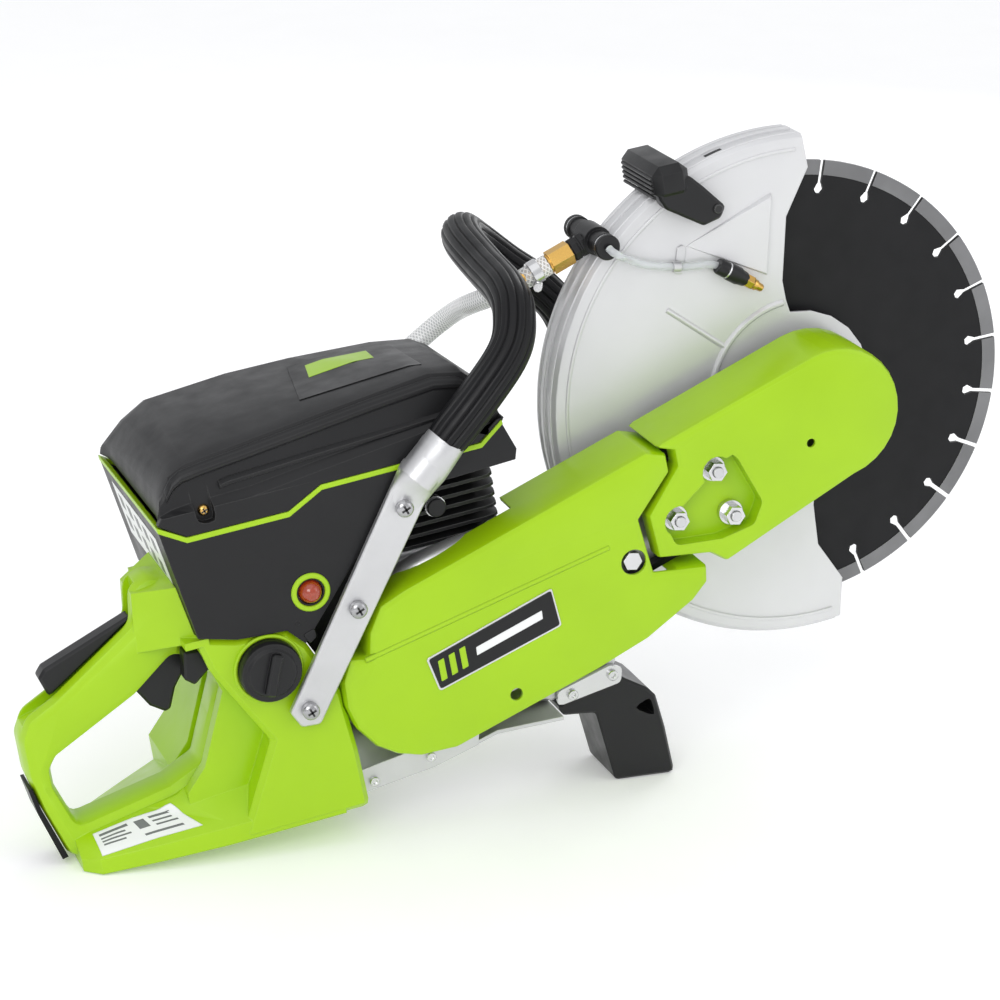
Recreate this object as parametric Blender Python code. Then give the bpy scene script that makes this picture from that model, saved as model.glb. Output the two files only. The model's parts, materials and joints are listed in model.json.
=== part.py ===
"""Petrol disc cutter with a wet-cutting kit, for rescue work, as separate named pieces.

Units are metres, +Z up. The saw stands on its front foot and on the rear edge of its base, nose up.
Every piece is modelled in the machine's own frame, whose origin is the blade axis, with +X towards
the blade, +Y to the left side and +Z up. Lengths inside functions are in millimetres, times MM.
"""

import bmesh
import bpy
from math import cos, pi, radians, sin, tau
from mathutils import Matrix, Vector

MM = 0.001

# Driving dimensions, in millimetres and degrees
BLADE_R = 175.0
BLADE_T = 3.2
GULLETS = 24
GULLET_R = 153.0
GULLET_FIRST = 7.6
PITCH = 8.5
ARM_PITCH = 16.0
BLADE_AXIS_X = 221.0
BLADE_AXIS_Y = -3.6
BLADE_AXIS_Z = 298.5
GUARD_R = 198.0
GUARD_Y = (-14.0, 26.0)
GUARD_WALL = 2.5
COVER_Y = (-90.0, -31.0)
COVER_WALL = 3.0
BODY_Y = (-86.0, 97.0)
TANK_Y = (-84.0, 90.0)
HANDLE_Y = -30.0
HANDLE_W = 36.0
CRANK = (-300.0, -100.0)
CRANK_ARM = (-316.0, -13.4)
BLADE_PULLEY_R = 38.0
DRIVE_PULLEY_R = 30.0
BELT_Y = (-71.0, -60.0)
GRIP_R = 15.5
TUBE_R = 11.0
GAP = 0.3

GREEN = (0.36, 0.62, 0.02)
BLACK = (0.018, 0.018, 0.019)
CHARCOAL = (0.045, 0.045, 0.047)
SILVER = (0.66, 0.66, 0.68)
STEEL = (0.45, 0.45, 0.46)
BRASS = (0.72, 0.52, 0.22)
CLEAR = (0.82, 0.84, 0.85)


# ---------------------------------------------------------------- scene and helpers

for old in list(bpy.data.objects):
    bpy.data.objects.remove(old, do_unlink=True)

parts = bpy.data.collections.new("rescue_saw")
cutters = bpy.data.collections.new("cutters")
cutters.hide_render = True
bpy.context.scene.collection.children.link(parts)
bpy.context.scene.collection.children.link(cutters)


def empty(name, location, turn_y, parent=None):
    frame = bpy.data.objects.new(name, None)
    frame.location = Vector(location) * MM
    frame.rotation_euler = (0, radians(turn_y), 0)
    frame.parent = parent
    parts.objects.link(frame)
    return frame


machine = empty("machine", (BLADE_AXIS_X, BLADE_AXIS_Y, BLADE_AXIS_Z), -PITCH)
arm = empty("arm", (0, 0, 0), -ARM_PITCH, machine)

materials = {}


def material(name, colour, roughness, metallic=0.0, alpha=1.0):
    made = bpy.data.materials.new(name)
    made.use_nodes = True
    shader = made.node_tree.nodes["Principled BSDF"]
    shader.inputs["Base Color"].default_value = (*colour, 1)
    shader.inputs["Roughness"].default_value = roughness
    shader.inputs["Metallic"].default_value = metallic
    shader.inputs["Alpha"].default_value = alpha
    made.diffuse_color = (*colour, alpha)
    materials[name] = made


material("green_plastic", GREEN, 0.4)
material("black_plastic", BLACK, 0.5)
material("charcoal_plastic", CHARCOAL, 0.5)
material("rubber", BLACK, 0.75)
material("guard_paint", (0.72, 0.72, 0.73), 0.35)
material("cast_aluminium", SILVER, 0.45, 1.0)
material("zinc_steel", (0.7, 0.7, 0.7), 0.35, 1.0)
material("steel", STEEL, 0.3, 1.0)
material("blade_steel", (0.03, 0.03, 0.032), 0.5)
material("brass", BRASS, 0.3, 1.0)
material("clear_hose", CLEAR, 0.15, 0.0, 0.6)
material("red_rubber", (0.5, 0.06, 0.02), 0.3)
material("filter_paper", (0.75, 0.68, 0.5), 0.9)


def hide(helper):
    """Makes an object a cutter: it shapes another and isn't a piece itself."""
    for group in list(helper.users_collection):
        group.objects.unlink(helper)
    cutters.objects.link(helper)
    helper.hide_render = True
    helper.display_type = "WIRE"


def piece(mesh, name, look, parent=machine, pivot=(0, 0, 0)):
    """An object for the mesh, whose points are in millimetres, with its origin at the pivot."""
    mesh.name = name
    mesh.transform(Matrix.Translation(-Vector(pivot)))
    mesh.transform(Matrix.Scale(MM, 4))
    thing = bpy.data.objects.new(name, mesh)
    thing.parent = parent
    thing.location = Vector(pivot) * MM
    if look:
        mesh.materials.clear()
        mesh.materials.append(materials[look])
    parts.objects.link(thing)
    mesh.shade_smooth()
    mesh.set_sharp_from_angle(angle=radians(35))
    return thing


def mesh_from(bm):
    bmesh.ops.recalc_face_normals(bm, faces=bm.faces)
    mesh = bpy.data.meshes.new("mesh")
    bm.to_mesh(mesh)
    bm.free()
    return mesh


def arc(x, z, radius, start, end, steps):
    """Points along an arc, angles in degrees from +X towards +Z."""
    turn = (end - start) / steps
    angles = [radians(start + turn * i) for i in range(steps + 1)]
    return [(x + radius * cos(a), z + radius * sin(a)) for a in angles]


def rounded(outline, radius, steps=3):
    """The outline with each corner replaced by an arc, smaller where its sides are short."""
    result = []
    count = len(outline)
    for i, point in enumerate(outline):
        corner = Vector(point)
        before = Vector(outline[i - 1]) - corner
        after = Vector(outline[(i + 1) % count]) - corner
        angle = before.angle(after)
        reach = min(radius / max(0.05, abs(cos(angle / 2) / sin(angle / 2)) ** -1), 1e6)
        reach = min(reach, 0.42 * before.length, 0.42 * after.length)
        start = corner + before.normalized() * reach
        end = corner + after.normalized() * reach
        for k in range(steps + 1):
            t = k / steps
            near = start.lerp(corner, t)
            far = corner.lerp(end, t)
            result.append(tuple(near.lerp(far, t)))
    return result


def prism(outline, y0, y1, holes=(), chamfer=0.0, chamfer_steps=1):
    """A flat outline in the XZ plane given thickness along Y, with holes through it."""
    curve = bpy.data.curves.new("outline", "CURVE")
    curve.dimensions = "2D"
    curve.fill_mode = "BOTH"
    curve.extrude = (y1 - y0) / 2
    for loop in (outline, *holes):
        spline = curve.splines.new("POLY")
        spline.points.add(len(loop) - 1)
        spline.use_cyclic_u = True
        for point, (x, z) in zip(spline.points, loop):
            point.co = (x, z, 0, 1)
    flat = bpy.data.objects.new("outline", curve)
    bpy.context.scene.collection.objects.link(flat)
    graph = bpy.context.evaluated_depsgraph_get()
    mesh = bpy.data.meshes.new_from_object(flat.evaluated_get(graph))
    bpy.data.objects.remove(flat, do_unlink=True)
    bm = bmesh.new()
    bm.from_mesh(mesh)
    bmesh.ops.remove_doubles(bm, verts=bm.verts, dist=0.001)
    bmesh.ops.dissolve_limit(bm, angle_limit=radians(0.5), verts=bm.verts, edges=bm.edges)
    if chamfer:
        rims = [
            e for e in bm.edges
            if abs(e.verts[0].co.z - e.verts[1].co.z) < 0.001 and e.calc_face_angle(0) > 0.5
        ]
        bmesh.ops.bevel(
            bm, geom=rims, offset=chamfer, segments=chamfer_steps, profile=0.5,
            affect="EDGES", clamp_overlap=True,
        )
    wide = [f for f in bm.faces if len(f.verts) > 4]
    bm.normal_update()
    bmesh.ops.triangulate(bm, faces=wide)
    bmesh.ops.rotate(bm, verts=bm.verts, matrix=Matrix.Rotation(pi / 2, 3, "X"))
    bmesh.ops.translate(bm, verts=bm.verts, vec=(0, (y0 + y1) / 2, 0))
    return mesh_from(bm)


def inset(outline, distance):
    """The outline moved inwards by a distance, or outwards by a negative one."""
    area = sum(a[0] * b[1] - b[0] * a[1] for a, b in zip(outline, [*outline[1:], outline[0]]))
    sign = 1 if area > 0 else -1
    moved = []
    for i, point in enumerate(outline):
        here = Vector(point)
        before = (here - Vector(outline[i - 1])).normalized()
        after = (Vector(outline[(i + 1) % len(outline)]) - here).normalized()
        normal = Vector((-before.y - after.y, before.x + after.x)) * sign
        normal.normalize()
        slant = max(0.5, normal.dot(Vector((-before.y, before.x)) * sign))
        moved.append(tuple(here + normal * distance / slant))
    return moved


def slab(outline, y0, y1, corner=4.0, edge=2.0, steps=1, corner_steps=2):
    """A plate along Y with rounded corners in its outline and rounded rims on both faces."""
    rows = []
    for k in range(steps + 1):
        a = pi / 2 * k / steps
        rows.append((edge * (1 - cos(a)), edge * (1 - sin(a))))
    rows = [(y0 + depth, inward) for depth, inward in rows] + [
        (y1 - depth, inward) for depth, inward in reversed(rows)
    ]
    rings = []
    for y, inward in rows:
        flat = rounded(inset(outline, inward), max(0.4, corner - inward), corner_steps)
        rings.append([(x, y, z) for x, z in flat])
    return loft(rings)


def flared(outline, y0, y1, corner=4.0, edge=2.0, steps=1, corner_steps=2):
    """A cutter for a hole through a plate, with rounded rims on both faces."""
    rows = [(-3.0, edge)]
    for k in range(steps + 1):
        a = pi / 2 * k / steps
        rows.append((edge * (1 - cos(a)), edge * (1 - sin(a))))
    rows = [(y0 + depth, out) for depth, out in rows] + [
        (y1 - depth, out) for depth, out in reversed(rows)
    ]
    rings = []
    for y, out in rows:
        flat = rounded(inset(outline, -out), corner + out, corner_steps)
        rings.append([(x, y, z) for x, z in flat])
    return loft(rings)


def rod(x, z, radius, y0, y1, sides=24, top_radius=None):
    """A cylinder or cone along Y."""
    bm = bmesh.new()
    bmesh.ops.create_cone(
        bm, cap_ends=True, segments=sides, radius1=top_radius or radius, radius2=radius,
        depth=y1 - y0,
        matrix=Matrix.Translation((x, (y0 + y1) / 2, z)) @ Matrix.Rotation(pi / 2, 4, "X"),
    )
    return mesh_from(bm)


def rod_between(start, end, radius, sides=16, end_radius=None):
    """A cylinder or cone between two points."""
    along = Vector(end) - Vector(start)
    bm = bmesh.new()
    bmesh.ops.create_cone(
        bm, cap_ends=True, segments=sides, radius1=radius,
        radius2=radius if end_radius is None else end_radius, depth=along.length,
        matrix=Matrix.Translation((Vector(start) + Vector(end)) / 2)
        @ along.to_track_quat("Z", "X").to_matrix().to_4x4(),
    )
    return mesh_from(bm)


def box(x0, x1, y0, y1, z0, z1, chamfer=0.0):
    bm = bmesh.new()
    bmesh.ops.create_cube(bm, size=1)
    bmesh.ops.scale(bm, verts=bm.verts, vec=(x1 - x0, y1 - y0, z1 - z0))
    bmesh.ops.translate(
        bm, verts=bm.verts, vec=((x0 + x1) / 2, (y0 + y1) / 2, (z0 + z1) / 2)
    )
    if chamfer:
        bmesh.ops.bevel(
            bm, geom=bm.edges[:], offset=chamfer, segments=1, profile=0.5, affect="EDGES"
        )
    return mesh_from(bm)


def turned(x, z, profile, name, look, parent=machine, steps=32):
    """A profile of (radius, y) points turned about an axis along Y, closed along the axis."""
    bm = bmesh.new()
    first = [bm.verts.new((x + radius, y, z)) for radius, y in profile]
    ring = [*first, first[0]] if profile[0][0] and profile[-1][0] else first
    edges = [bm.edges.new(pair) for pair in zip(ring, ring[1:])]
    bmesh.ops.spin(
        bm, geom=first + edges, cent=(x, 0, z), axis=(0, 1, 0), angle=tau, steps=steps,
        use_merge=True,
    )
    bmesh.ops.remove_doubles(bm, verts=bm.verts, dist=0.001)
    return piece(mesh_from(bm), name, look, parent, (x, 0, z))


def loft(rings):
    """A closed skin over rings that all have the same number of points."""
    bm = bmesh.new()
    rows = [[bm.verts.new(point) for point in ring] for ring in rings]
    for row, following in zip(rows, rows[1:]):
        for i in range(len(row)):
            j = (i + 1) % len(row)
            bm.faces.new((row[i], row[j], following[j], following[i]))
    caps = [bm.faces.new(rows[0]), bm.faces.new(rows[-1])]
    bm.normal_update()
    bmesh.ops.triangulate(bm, faces=caps)
    return mesh_from(bm)


def smooth_path(points, per_span=3):
    """Points along a Catmull-Rom curve through the given ones."""
    knots = [Vector(p) for p in points]
    knots = [2 * knots[0] - knots[1], *knots, 2 * knots[-1] - knots[-2]]
    path = []
    for a, b, c, d in zip(knots, knots[1:], knots[2:], knots[3:]):
        for k in range(per_span):
            t = k / per_span
            path.append(
                0.5 * (2 * b + (c - a) * t + (2 * a - 5 * b + 4 * c - d) * t * t
                       + (3 * b - a - 3 * c + d) * t ** 3)
            )
    return [*path, knots[-2]]


def wire(path, radius, resolution=2):
    """A round tube along a path, as a mesh."""
    curve = bpy.data.curves.new("wire", "CURVE")
    curve.dimensions = "3D"
    curve.bevel_depth = radius
    curve.bevel_resolution = resolution
    curve.use_fill_caps = True
    spline = curve.splines.new("POLY")
    spline.points.add(len(path) - 1)
    for point, place in zip(spline.points, path):
        point.co = (*place, 1)
    helper = bpy.data.objects.new("wire", curve)
    bpy.context.scene.collection.objects.link(helper)
    graph = bpy.context.evaluated_depsgraph_get()
    mesh = bpy.data.meshes.new_from_object(helper.evaluated_get(graph))
    bpy.data.objects.remove(helper, do_unlink=True)
    bm = bmesh.new()
    bm.from_mesh(mesh)
    bmesh.ops.remove_doubles(bm, verts=bm.verts, dist=0.01)
    return mesh_from(bm)


# Shells whose many cuts lie close together, where the EXACT solver drops faces
LAYERED = ("rear_housing", "rear_belt_cover", "top_cover")


def shaped(target, mesh, operation):
    """Cuts the mesh from the target, or joins it on."""
    helper = piece(mesh, "helper", None, target.parent, tuple(target.location / MM))
    hide(helper)
    change = target.modifiers.new(operation.lower(), "BOOLEAN")
    change.operation = operation
    change.solver = "MANIFOLD" if target.name in LAYERED else "EXACT"
    change.object = helper


def cut(target, *meshes):
    for mesh in meshes:
        shaped(target, mesh, "DIFFERENCE")


def join(target, *meshes):
    for mesh in meshes:
        shaped(target, mesh, "UNION")


def circle(x, z, radius, steps=24):
    return arc(x, z, radius, 0, 360 - 360 / steps, steps - 1)


# ---------------------------------------------------------------- rear housing with tank and handle

TANK = [
    (-508, -46), (-501, -74), (-466, -139), (-494, -197), (-500, -211), (-401, -211),
    (-403, -165), (-408, -116), (-427, -73), (-440, -58), (-478, -55),
]
WEB = [
    (-507, -52), (-491, -100), (-514, -155), (-530, -172), (-530, -206), (-430, -206),
    (-430, -100), (-445, -66),
]
LOOP_OUTER = [
    (-502, -14), (-526, -5), (-541, -11), (-545, -38), (-611, -80), (-632, -90), (-640, -105),
    (-640, -134), (-634, -163), (-622, -202), (-612, -208), (-500, -208),
]
LOOP_INNER = [
    (-551, -93), (-616, -124), (-622, -132), (-622, -146), (-611, -180), (-540, -168),
    (-515, -157), (-491, -100), (-498, -76), (-520, -70),
]
TANK_HOLLOW = [
    (-468, -76), (-440, -76), (-421, -118), (-414, -204), (-486, -204), (-458, -140),
]


SWITCH = [(-514, -62), (-495, -64), (-493, -76), (-510, -89), (-517, -83)]


def skid_ring(x, near, far, side, crest, sole=-211.0):
    """A section of the base across the machine: flat below, with a low ridge under the handle."""
    middle = HANDLE_Y
    return [
        (x, near, sole), (x, near, side), (x, near + 5, side + 4), (x, middle - 17, crest),
        (x, middle + 17, crest), (x, far - 5, side + 4), (x, far, side), (x, far, sole),
    ]


def make_rear_housing():
    housing = piece(slab(TANK, *TANK_Y, 5, 4), "rear_housing", "green_plastic")
    low, high = HANDLE_Y - HANDLE_W / 2, HANDLE_Y + HANDLE_W / 2
    loop = slab(LOOP_OUTER, low, high, 14, 8, 2, 3)
    skid = loft([
        skid_ring(-616, -62, 2, -200, -189, -209.7),
        skid_ring(-604, -73, 13, -199, -186),
        skid_ring(-560, -79, 45, -198, -178),
        skid_ring(-510, -83, 80, -197, -166),
        skid_ring(-420, -83.5, 89.5, -197, -160),
    ])
    neck_top = [(-500, -82, -6), (-500, 22, -6), (-500, 22, -50), (-500, -82, -50)]
    neck_end = [(-541, -47, -14), (-541, -13, -14), (-546, -13, -60), (-546, -47, -60)]
    flange = box(-516, -498, -84, 92, -53, -47.5)
    join(housing, prism(WEB, -62, 60), loop, skid, loft([neck_top, neck_end]), flange)
    cut(housing, flared(LOOP_INNER, low, high, 8, 8, 2, 3))
    neck_bore = rod(-459, -82, 17, -95, -70, 24)
    cut(housing, prism(inset(SHELL, -0.4), -95, 125))
    cover_side = prism(inset(REAR_COVER, -1), -95, -55)
    cover_side.transform(Matrix.Rotation(radians(-ARM_PITCH), 4, "Y"))
    cut(housing, cover_side, prism(inset(SWITCH, -0.6), -75, HANDLE_Y - 15))
    trigger_slot = box(-560, -506, HANDLE_Y - 9, HANDLE_Y + 9, -110, -50)
    lever_slot = prism([(-536, -5), (-536, -44), (-604, -88), (-650, -100), (-650, -5)],
                       HANDLE_Y - 8.5, HANDLE_Y + 8.5)
    cut(housing, prism(TANK_HOLLOW, -78, 84), neck_bore, trigger_slot, lever_slot)
    return housing


def make_controls():
    pad = [(-638.7, -143), (-641.5, -143), (-638, -164.5), (-627, -204), (-622.5, -203),
           (-634.4, -163.2)]
    piece(prism(pad, HANDLE_Y - 15, HANDLE_Y + 15), "rear_pad", "rubber")

    trigger = [(-508, -72), (-516, -64), (-550, -84), (-549, -93), (-541, -107), (-530, -115),
               (-526, -113), (-520, -98), (-511, -86)]
    piece(slab(trigger, HANDLE_Y - 8, HANDLE_Y + 8, 3, 2),
          "throttle_trigger", "black_plastic", pivot=(-513, HANDLE_Y, -70))

    lever = [(-543, -34), (-612, -58), (-617, -64), (-612, -80), (-605, -76), (-545, -38.5)]
    lockout = piece(slab(lever, HANDLE_Y - 7.5, HANDLE_Y + 7.5, 3, 2),
                    "trigger_lockout", "black_plastic", pivot=(-545, HANDLE_Y, -35))
    lockout["turn"] = "hinge at the front end"

    piece(slab(SWITCH, HANDLE_Y - 34, HANDLE_Y - 19, 2, 1.5), "stop_switch",
          "black_plastic", pivot=(-500, HANDLE_Y - 27, -66))


def make_fuel_cap():
    profile = [(0, -97), (17, -97), (19, -95), (22, -95), (23, -93), (23, -84.8),
               (16, -84.8), (16, -73), (0, -73)]
    cap = turned(-459, -82, profile, "fuel_cap", "black_plastic", steps=36)
    ridge = box(-475, -443, -103, -95.5, -86, -78, 1.5)
    ridge.transform(Matrix.Translation((459, 0, 82)))
    ridge.transform(Matrix.Rotation(radians(-70), 4, "Y"))
    ridge.transform(Matrix.Translation((-459, 0, -82)))
    join(cap, ridge)


# ---------------------------------------------------------------- air box and its cover

SHELL = [
    (-506, -45), (-520, 40), (-501, 28), (-425, 28), (-398, 42), (-276, 43), (-258, 57),
    (-250, 36), (-252, 28), (-300, 26), (-345, 26), (-429, -70), (-441, -56.5), (-478, -53.5),
]
SHELL_HOLLOW = [
    (-503, -41), (-517, 70), (-253.5, 70), (-253.5, 10), (-335, 10), (-335, -90), (-420, -90),
    (-432, -67), (-442, -53.5), (-478, -50),
]
STRIP = [
    (-520.6, 40.4), (-501, 28.3), (-424.9, 28.3), (-398, 42.3), (-275.9, 43.3), (-257.6, 57.4),
    (-258.4, 60.6), (-276.1, 47.0), (-398.2, 46.0), (-425.1, 32.2), (-500.9, 32.2),
    (-520.8, 44.4),
]
COVER_LOWER = [(-519.5, 45.2), (-501, 32.8), (-425.2, 32.8), (-398.3, 46.6), (-276.3, 47.6),
               (-259, 61.3)]
COVER_NEAR = [(-256, 74), (-263, 90), (-276, 102), (-302, 107), (-400, 96), (-449, 90),
              (-494, 84), (-507, 77), (-516, 63)]
COVER_FAR = [(-254, 68), (-258, 76), (-270, 83), (-302, 88), (-368, 91), (-420, 91),
             (-484, 86), (-504, 74), (-518, 57)]
COVER_SECTION = [
    (-86.0, 46, 4), (-85.5, 40, 0), (-80, 34, 0), (-78.5, 17, 1), (-77, 9, 2), (-73, 3, 3),
    (-62, 0, 4), (74, 0, 4), (84, 4, 3), (92, 13, 1), (96.5, 30, 0), (97, 46, 2),
]


def cover_ring(y, drop, inset_by):
    """The cover's outline at one place across the machine: its top is lower towards the sides."""
    ring = list(COVER_LOWER)
    side = max(0.0, min(1.0, (y + 75) / 150))
    for near, far in zip(COVER_NEAR, COVER_FAR):
        x, z = Vector(near).lerp(Vector(far), side)
        z_low = 61.8 if x > -262 else 50
        depth = max(0.0, min(1.0, (z - 45) / 45))
        ring.append((x, max(z_low, z - drop * depth)))
    return [(x - inset_by * (x + 390) / 130, y, z) for x, z in ring]


def make_air_box():
    shell = piece(prism(SHELL, *BODY_Y), "airbox_housing", "charcoal_plastic")
    bulb_seat = rod(-419, -32, 9.4, -90, -80, 24)
    cut(shell, prism(SHELL_HOLLOW, BODY_Y[0] + 3, BODY_Y[1] - 3), bulb_seat)

    strip = piece(prism(STRIP, BODY_Y[0] - 0.6, BODY_Y[1] + 0.6), "cover_pinstripe",
                  "green_plastic")
    inside = [(-516.5, 0), (-516.5, 100), (-262, 100), (-262, 0)]
    cut(strip, prism(inside, BODY_Y[0] + 3, BODY_Y[1] - 3))

    cover = piece(loft([cover_ring(*row) for row in COVER_SECTION]), "top_cover",
                  "charcoal_plastic")
    inside = [(-509.5, 0), (-509.5, 56), (-501, 66), (-488, 77), (-302, 82), (-280, 78), (-264, 68),
              (-262, 0)]
    screw_slot = rounded([(-491, 40), (-477, 38), (-479, 76), (-493, 78)], 6, 2)
    cut(cover, prism(inside, -72, 82), prism([(-511, 0), (-511, 50), (-262, 54), (-262, 0)],
                                             -76, 94), prism(screw_slot, -90, -79))

    pleats = box(-488, -432, -60, 76, -30, 24, 3)
    piece(pleats, "air_filter", "filter_paper")
    carb = piece(box(-405, -372, -22, 30, -34, 8, 2), "carburettor", "cast_aluminium")
    join(carb, rod_between((-428, 4, -14), (-356, 4, -14), 17, 20))
    cut(carb, rod_between((-432, 4, -14), (-352, 4, -14), 11, 20))

    bulb = turned(-419, -32, [(0, -93), (4, -92.4), (7, -90), (8.5, -86), (9, -80.5), (0, -80.5)],
                  "primer_bulb", "red_rubber", steps=20)
    bulb["travel"] = "pressed in along +Y"


# ---------------------------------------------------------------- engine

def corner_box_ring(x0, x1, y0, y1, z, radius, steps=3):
    flat = rounded([(x0, y0), (x1, y0), (x1, y1), (x0, y1)], radius, steps)
    return [(x, y, z) for x, y in flat]


CASE = [(-352, -40.5), (-352, -130), (-330, -150), (-262, -150), (-240, -125), (-240, -62),
        (-262, -40.5)]


def make_engine():
    rings = []
    fin, pitch, first, count = 2.6, 8.0, -38.0, 12
    for i in range(count):
        z = first + pitch * i
        rings.append(corner_box_ring(-334, -266, -28, 32, z, 18))
        rings.append(corner_box_ring(-346, -255.5, -41, 45, z, 12))
        rings.append(corner_box_ring(-346, -255.5, -41, 45, z + fin, 12))
        rings.append(corner_box_ring(-334, -266, -28, 32, z + fin, 18))
    cylinder = piece(loft(rings), "cylinder", "black_plastic")
    cut(cylinder, rod_between((-300, 2, -60), (-300, 2, 42), 24, 28),
        rod_between((-300, 2, 30), (-300, 2, 90), 5.2, 12),
        rod_between((-309, -70, -4), (-309, -20, -4), 6.2, 14))

    crown = piece(rod_between((-300, 2, -34), (-300, 2, 4), 23.6, 28), "piston", "cast_aluminium")
    cut(crown, rod_between((-300, 2, -60), (-300, 2, -4), 19, 24))

    plug = piece(rod_between((-300, 2, 40), (-300, 2, 66), 4.9, 12), "spark_plug", "zinc_steel")
    join(plug, rod_between((-300, 2, 56), (-300, 2, 62), 8, 6))

    valve = piece(rod_between((-309, -52, -4), (-309, -28.5, -4), 5.9, 16),
                  "decompression_valve", "zinc_steel", pivot=(-309, -52, -4))
    join(valve, rod_between((-309, -56, -4), (-309, -50, -4), 8, 16))

    crankcase = piece(slab(CASE, -48, 50, 10, 3), "crankcase", "cast_aluminium")
    lug = [(-290, -135), (-248, -128), (-205, -158), (-178, -172), (-180, -178.6), (-232, -194),
           (-285, -185)]
    deck = box(-350, -252, -40, 44, -62, -39)
    join(crankcase, deck, slab(lug, -28, 28, 4, 2))
    cut(crankcase, rod(*CRANK, 38, -32, 34, 32), rod(*CRANK, 12, -60, 60, 20),
        rod_between((-300, 2, -90), (-300, 2, -30), 24.5, 28))

    shaft = piece(rod(*CRANK, 8, -85, 78, 20), "crankshaft", "steel",
                  pivot=(CRANK[0], 0, CRANK[1]))
    web = [(CRANK[0] + x, CRANK[1] + z) for x, z in circle(0, 0, 34, 28)]
    join(shaft, prism(web, -24, -10), prism(web, 12, 26),
         rod(CRANK[0], CRANK[1] + 20, 7, -12, 14, 16))

    wheel = turned(*CRANK, [(42, 56), (44, 58), (44, 68), (40, 71), (16, 71), (12, 75),
                            (8.4, 75), (8.4, 56)], "flywheel", "cast_aluminium", steps=36)
    wheel["fit"] = "on the crankshaft's taper"

    muffler = [(-237, -124), (-237, -66), (-218, -60), (-206, -70), (-206, -112), (-214, -124)]
    silencer = piece(slab(muffler, -24, 46, 8, 3), "muffler", "zinc_steel")
    cut(silencer, prism([(-234, -118), (-234, -70), (-210, -74), (-210, -110)], -20, 42),
        rod(-222, -90, 7, 30, 60, 12))


def make_starter():
    outer = [(-376, -82), (-376, -150), (-348, -178), (-274, -178), (-252, -152), (-252, -68),
             (-268, -50), (-345, -50)]
    cover = piece(slab(outer, 52, 114, 16, 8, 2, 3), "starter_cover", "green_plastic")
    cut(cover, prism(rounded(inset(outer, 3), 13, 3), 40, 104))
    slots = []
    for i in range(6):
        x = CRANK[0] - 40 + 16 * i
        slots.append(prism(rounded([(x - 3, -142), (x + 3, -142), (x + 3, -92), (x - 3, -92)],
                                   2.5, 1), 98, 120))
    cut(cover, *slots)
    cut(cover, rod_between((-275, 80, -150), (-240, 80, -150), 5, 12))
    grip = piece(rod_between((-241, 60, -150), (-241, 100, -150), 8, 16), "starter_grip",
                 "rubber", pivot=(-241, 80, -150))
    join(grip, rod_between((-241, 80, -150), (-258, 80, -150), 4, 12))


# ---------------------------------------------------------------- wrap handle

WRAP = [
    (-317, -99, 50), (-273, -98, 88), (-246, -92, 113), (-234, -76, 132), (-229, -50, 142),
    (-227, 0, 147), (-225, 50, 153), (-217, 82, 153), (-202, 99, 138), (-180, 105, 114),
    (-158, 106, 92), (-141, 106, 66), (-135, 106, 36), (-138, 106, 0), (-146, 106, -36),
    (-158, 106, -68), (-180, 106, -98),
]


def tube_mesh(path, outer, inner, sides=12):
    """A hollow tube along the path, open at both ends, as one closed skin."""
    rings_out, rings_in = [], []
    side = Vector((0, 1, 0))
    for i, point in enumerate(path):
        ahead = path[min(i + 1, len(path) - 1)] - path[max(i - 1, 0)]
        ahead.normalize()
        side = (side - ahead * side.dot(ahead)).normalized()
        up = ahead.cross(side)
        ring = [side * cos(tau * k / sides) + up * sin(tau * k / sides) for k in range(sides)]
        rings_out.append([point + d * outer for d in ring])
        rings_in.append([point + d * inner for d in ring])
    return [*rings_out, *reversed(rings_in)]


def make_wrap_handle():
    path = smooth_path(WRAP)
    piece(wire(path, TUBE_R, 3), "wrap_handle_tube", "steel")
    sleeve = tube_mesh(path[2:-6], GRIP_R, TUBE_R + 0.6)
    bm = bmesh.new()
    rows = [[bm.verts.new(p) for p in ring] for ring in sleeve]
    for row, following in zip(rows, [*rows[1:], rows[0]]):
        for i in range(len(row)):
            j = (i + 1) % len(row)
            bm.faces.new((row[i], row[j], following[j], following[i]))
    piece(mesh_from(bm), "wrap_grip", "rubber")

    along = Vector((128, 185)).normalized()
    across = Vector((-along.y, along.x))
    low, high = Vector((-437, -119)), Vector((-324, 44.5))
    bar = [low + across * 12.7, low + across * 12.7 - along * 6, low - along * 13,
           low - across * 12.7 - along * 6, low - across * 12.7, high - across * 14.5,
           high + across * 14.5]
    bracket = piece(prism([tuple(p) for p in rounded([tuple(p) for p in bar], 4, 2)], -95, -88.5,
                          chamfer=1.2), "right_handle_bracket", "cast_aluminium")
    join(bracket, rod_between((-333, -99.3, 37), (-306, -98.8, 59.5), 15, 20))
    end, ahead = path[0], (path[2] - path[0]).normalized()
    cut(bracket, rod_between(end - ahead * 0.4, end + ahead * 60, TUBE_R + 0.8, 20),
        box(-380, -290, -87, -60, 0, 100))
    for number, (x, z) in enumerate([(-343, 17), (-389, -50), (-436.5, -117.5)], 1):
        screw = piece(rod(x, z, 6.5, -99.5, -95.3, 20), f"bracket_screw_{number}", "steel",
                      pivot=(x, -95, z))
        cut(screw, rod(x, z, 2.8, -102, -97.5, 6))

    foot = [(-192, -84), (-168, -92), (-176, -112), (-206, -126), (-249, -126), (-249, -102),
            (-215, -98)]
    left = piece(slab(foot, 98, 104.5, 5, 1), "left_handle_bracket", "cast_aluminium")
    end, before = path[-1], path[-3]
    toward = (end - before).normalized()
    join(left, rod_between(end - toward * 22, end + toward * 6, 15.4, 16),
         box(-249, -241, 50.4, 100, -124, -104))
    cut(left, rod_between(end - toward * 60, end + toward * 0.5, TUBE_R + 0.8, 20))


# ---------------------------------------------------------------- belt drive, in the arm's frame

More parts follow.
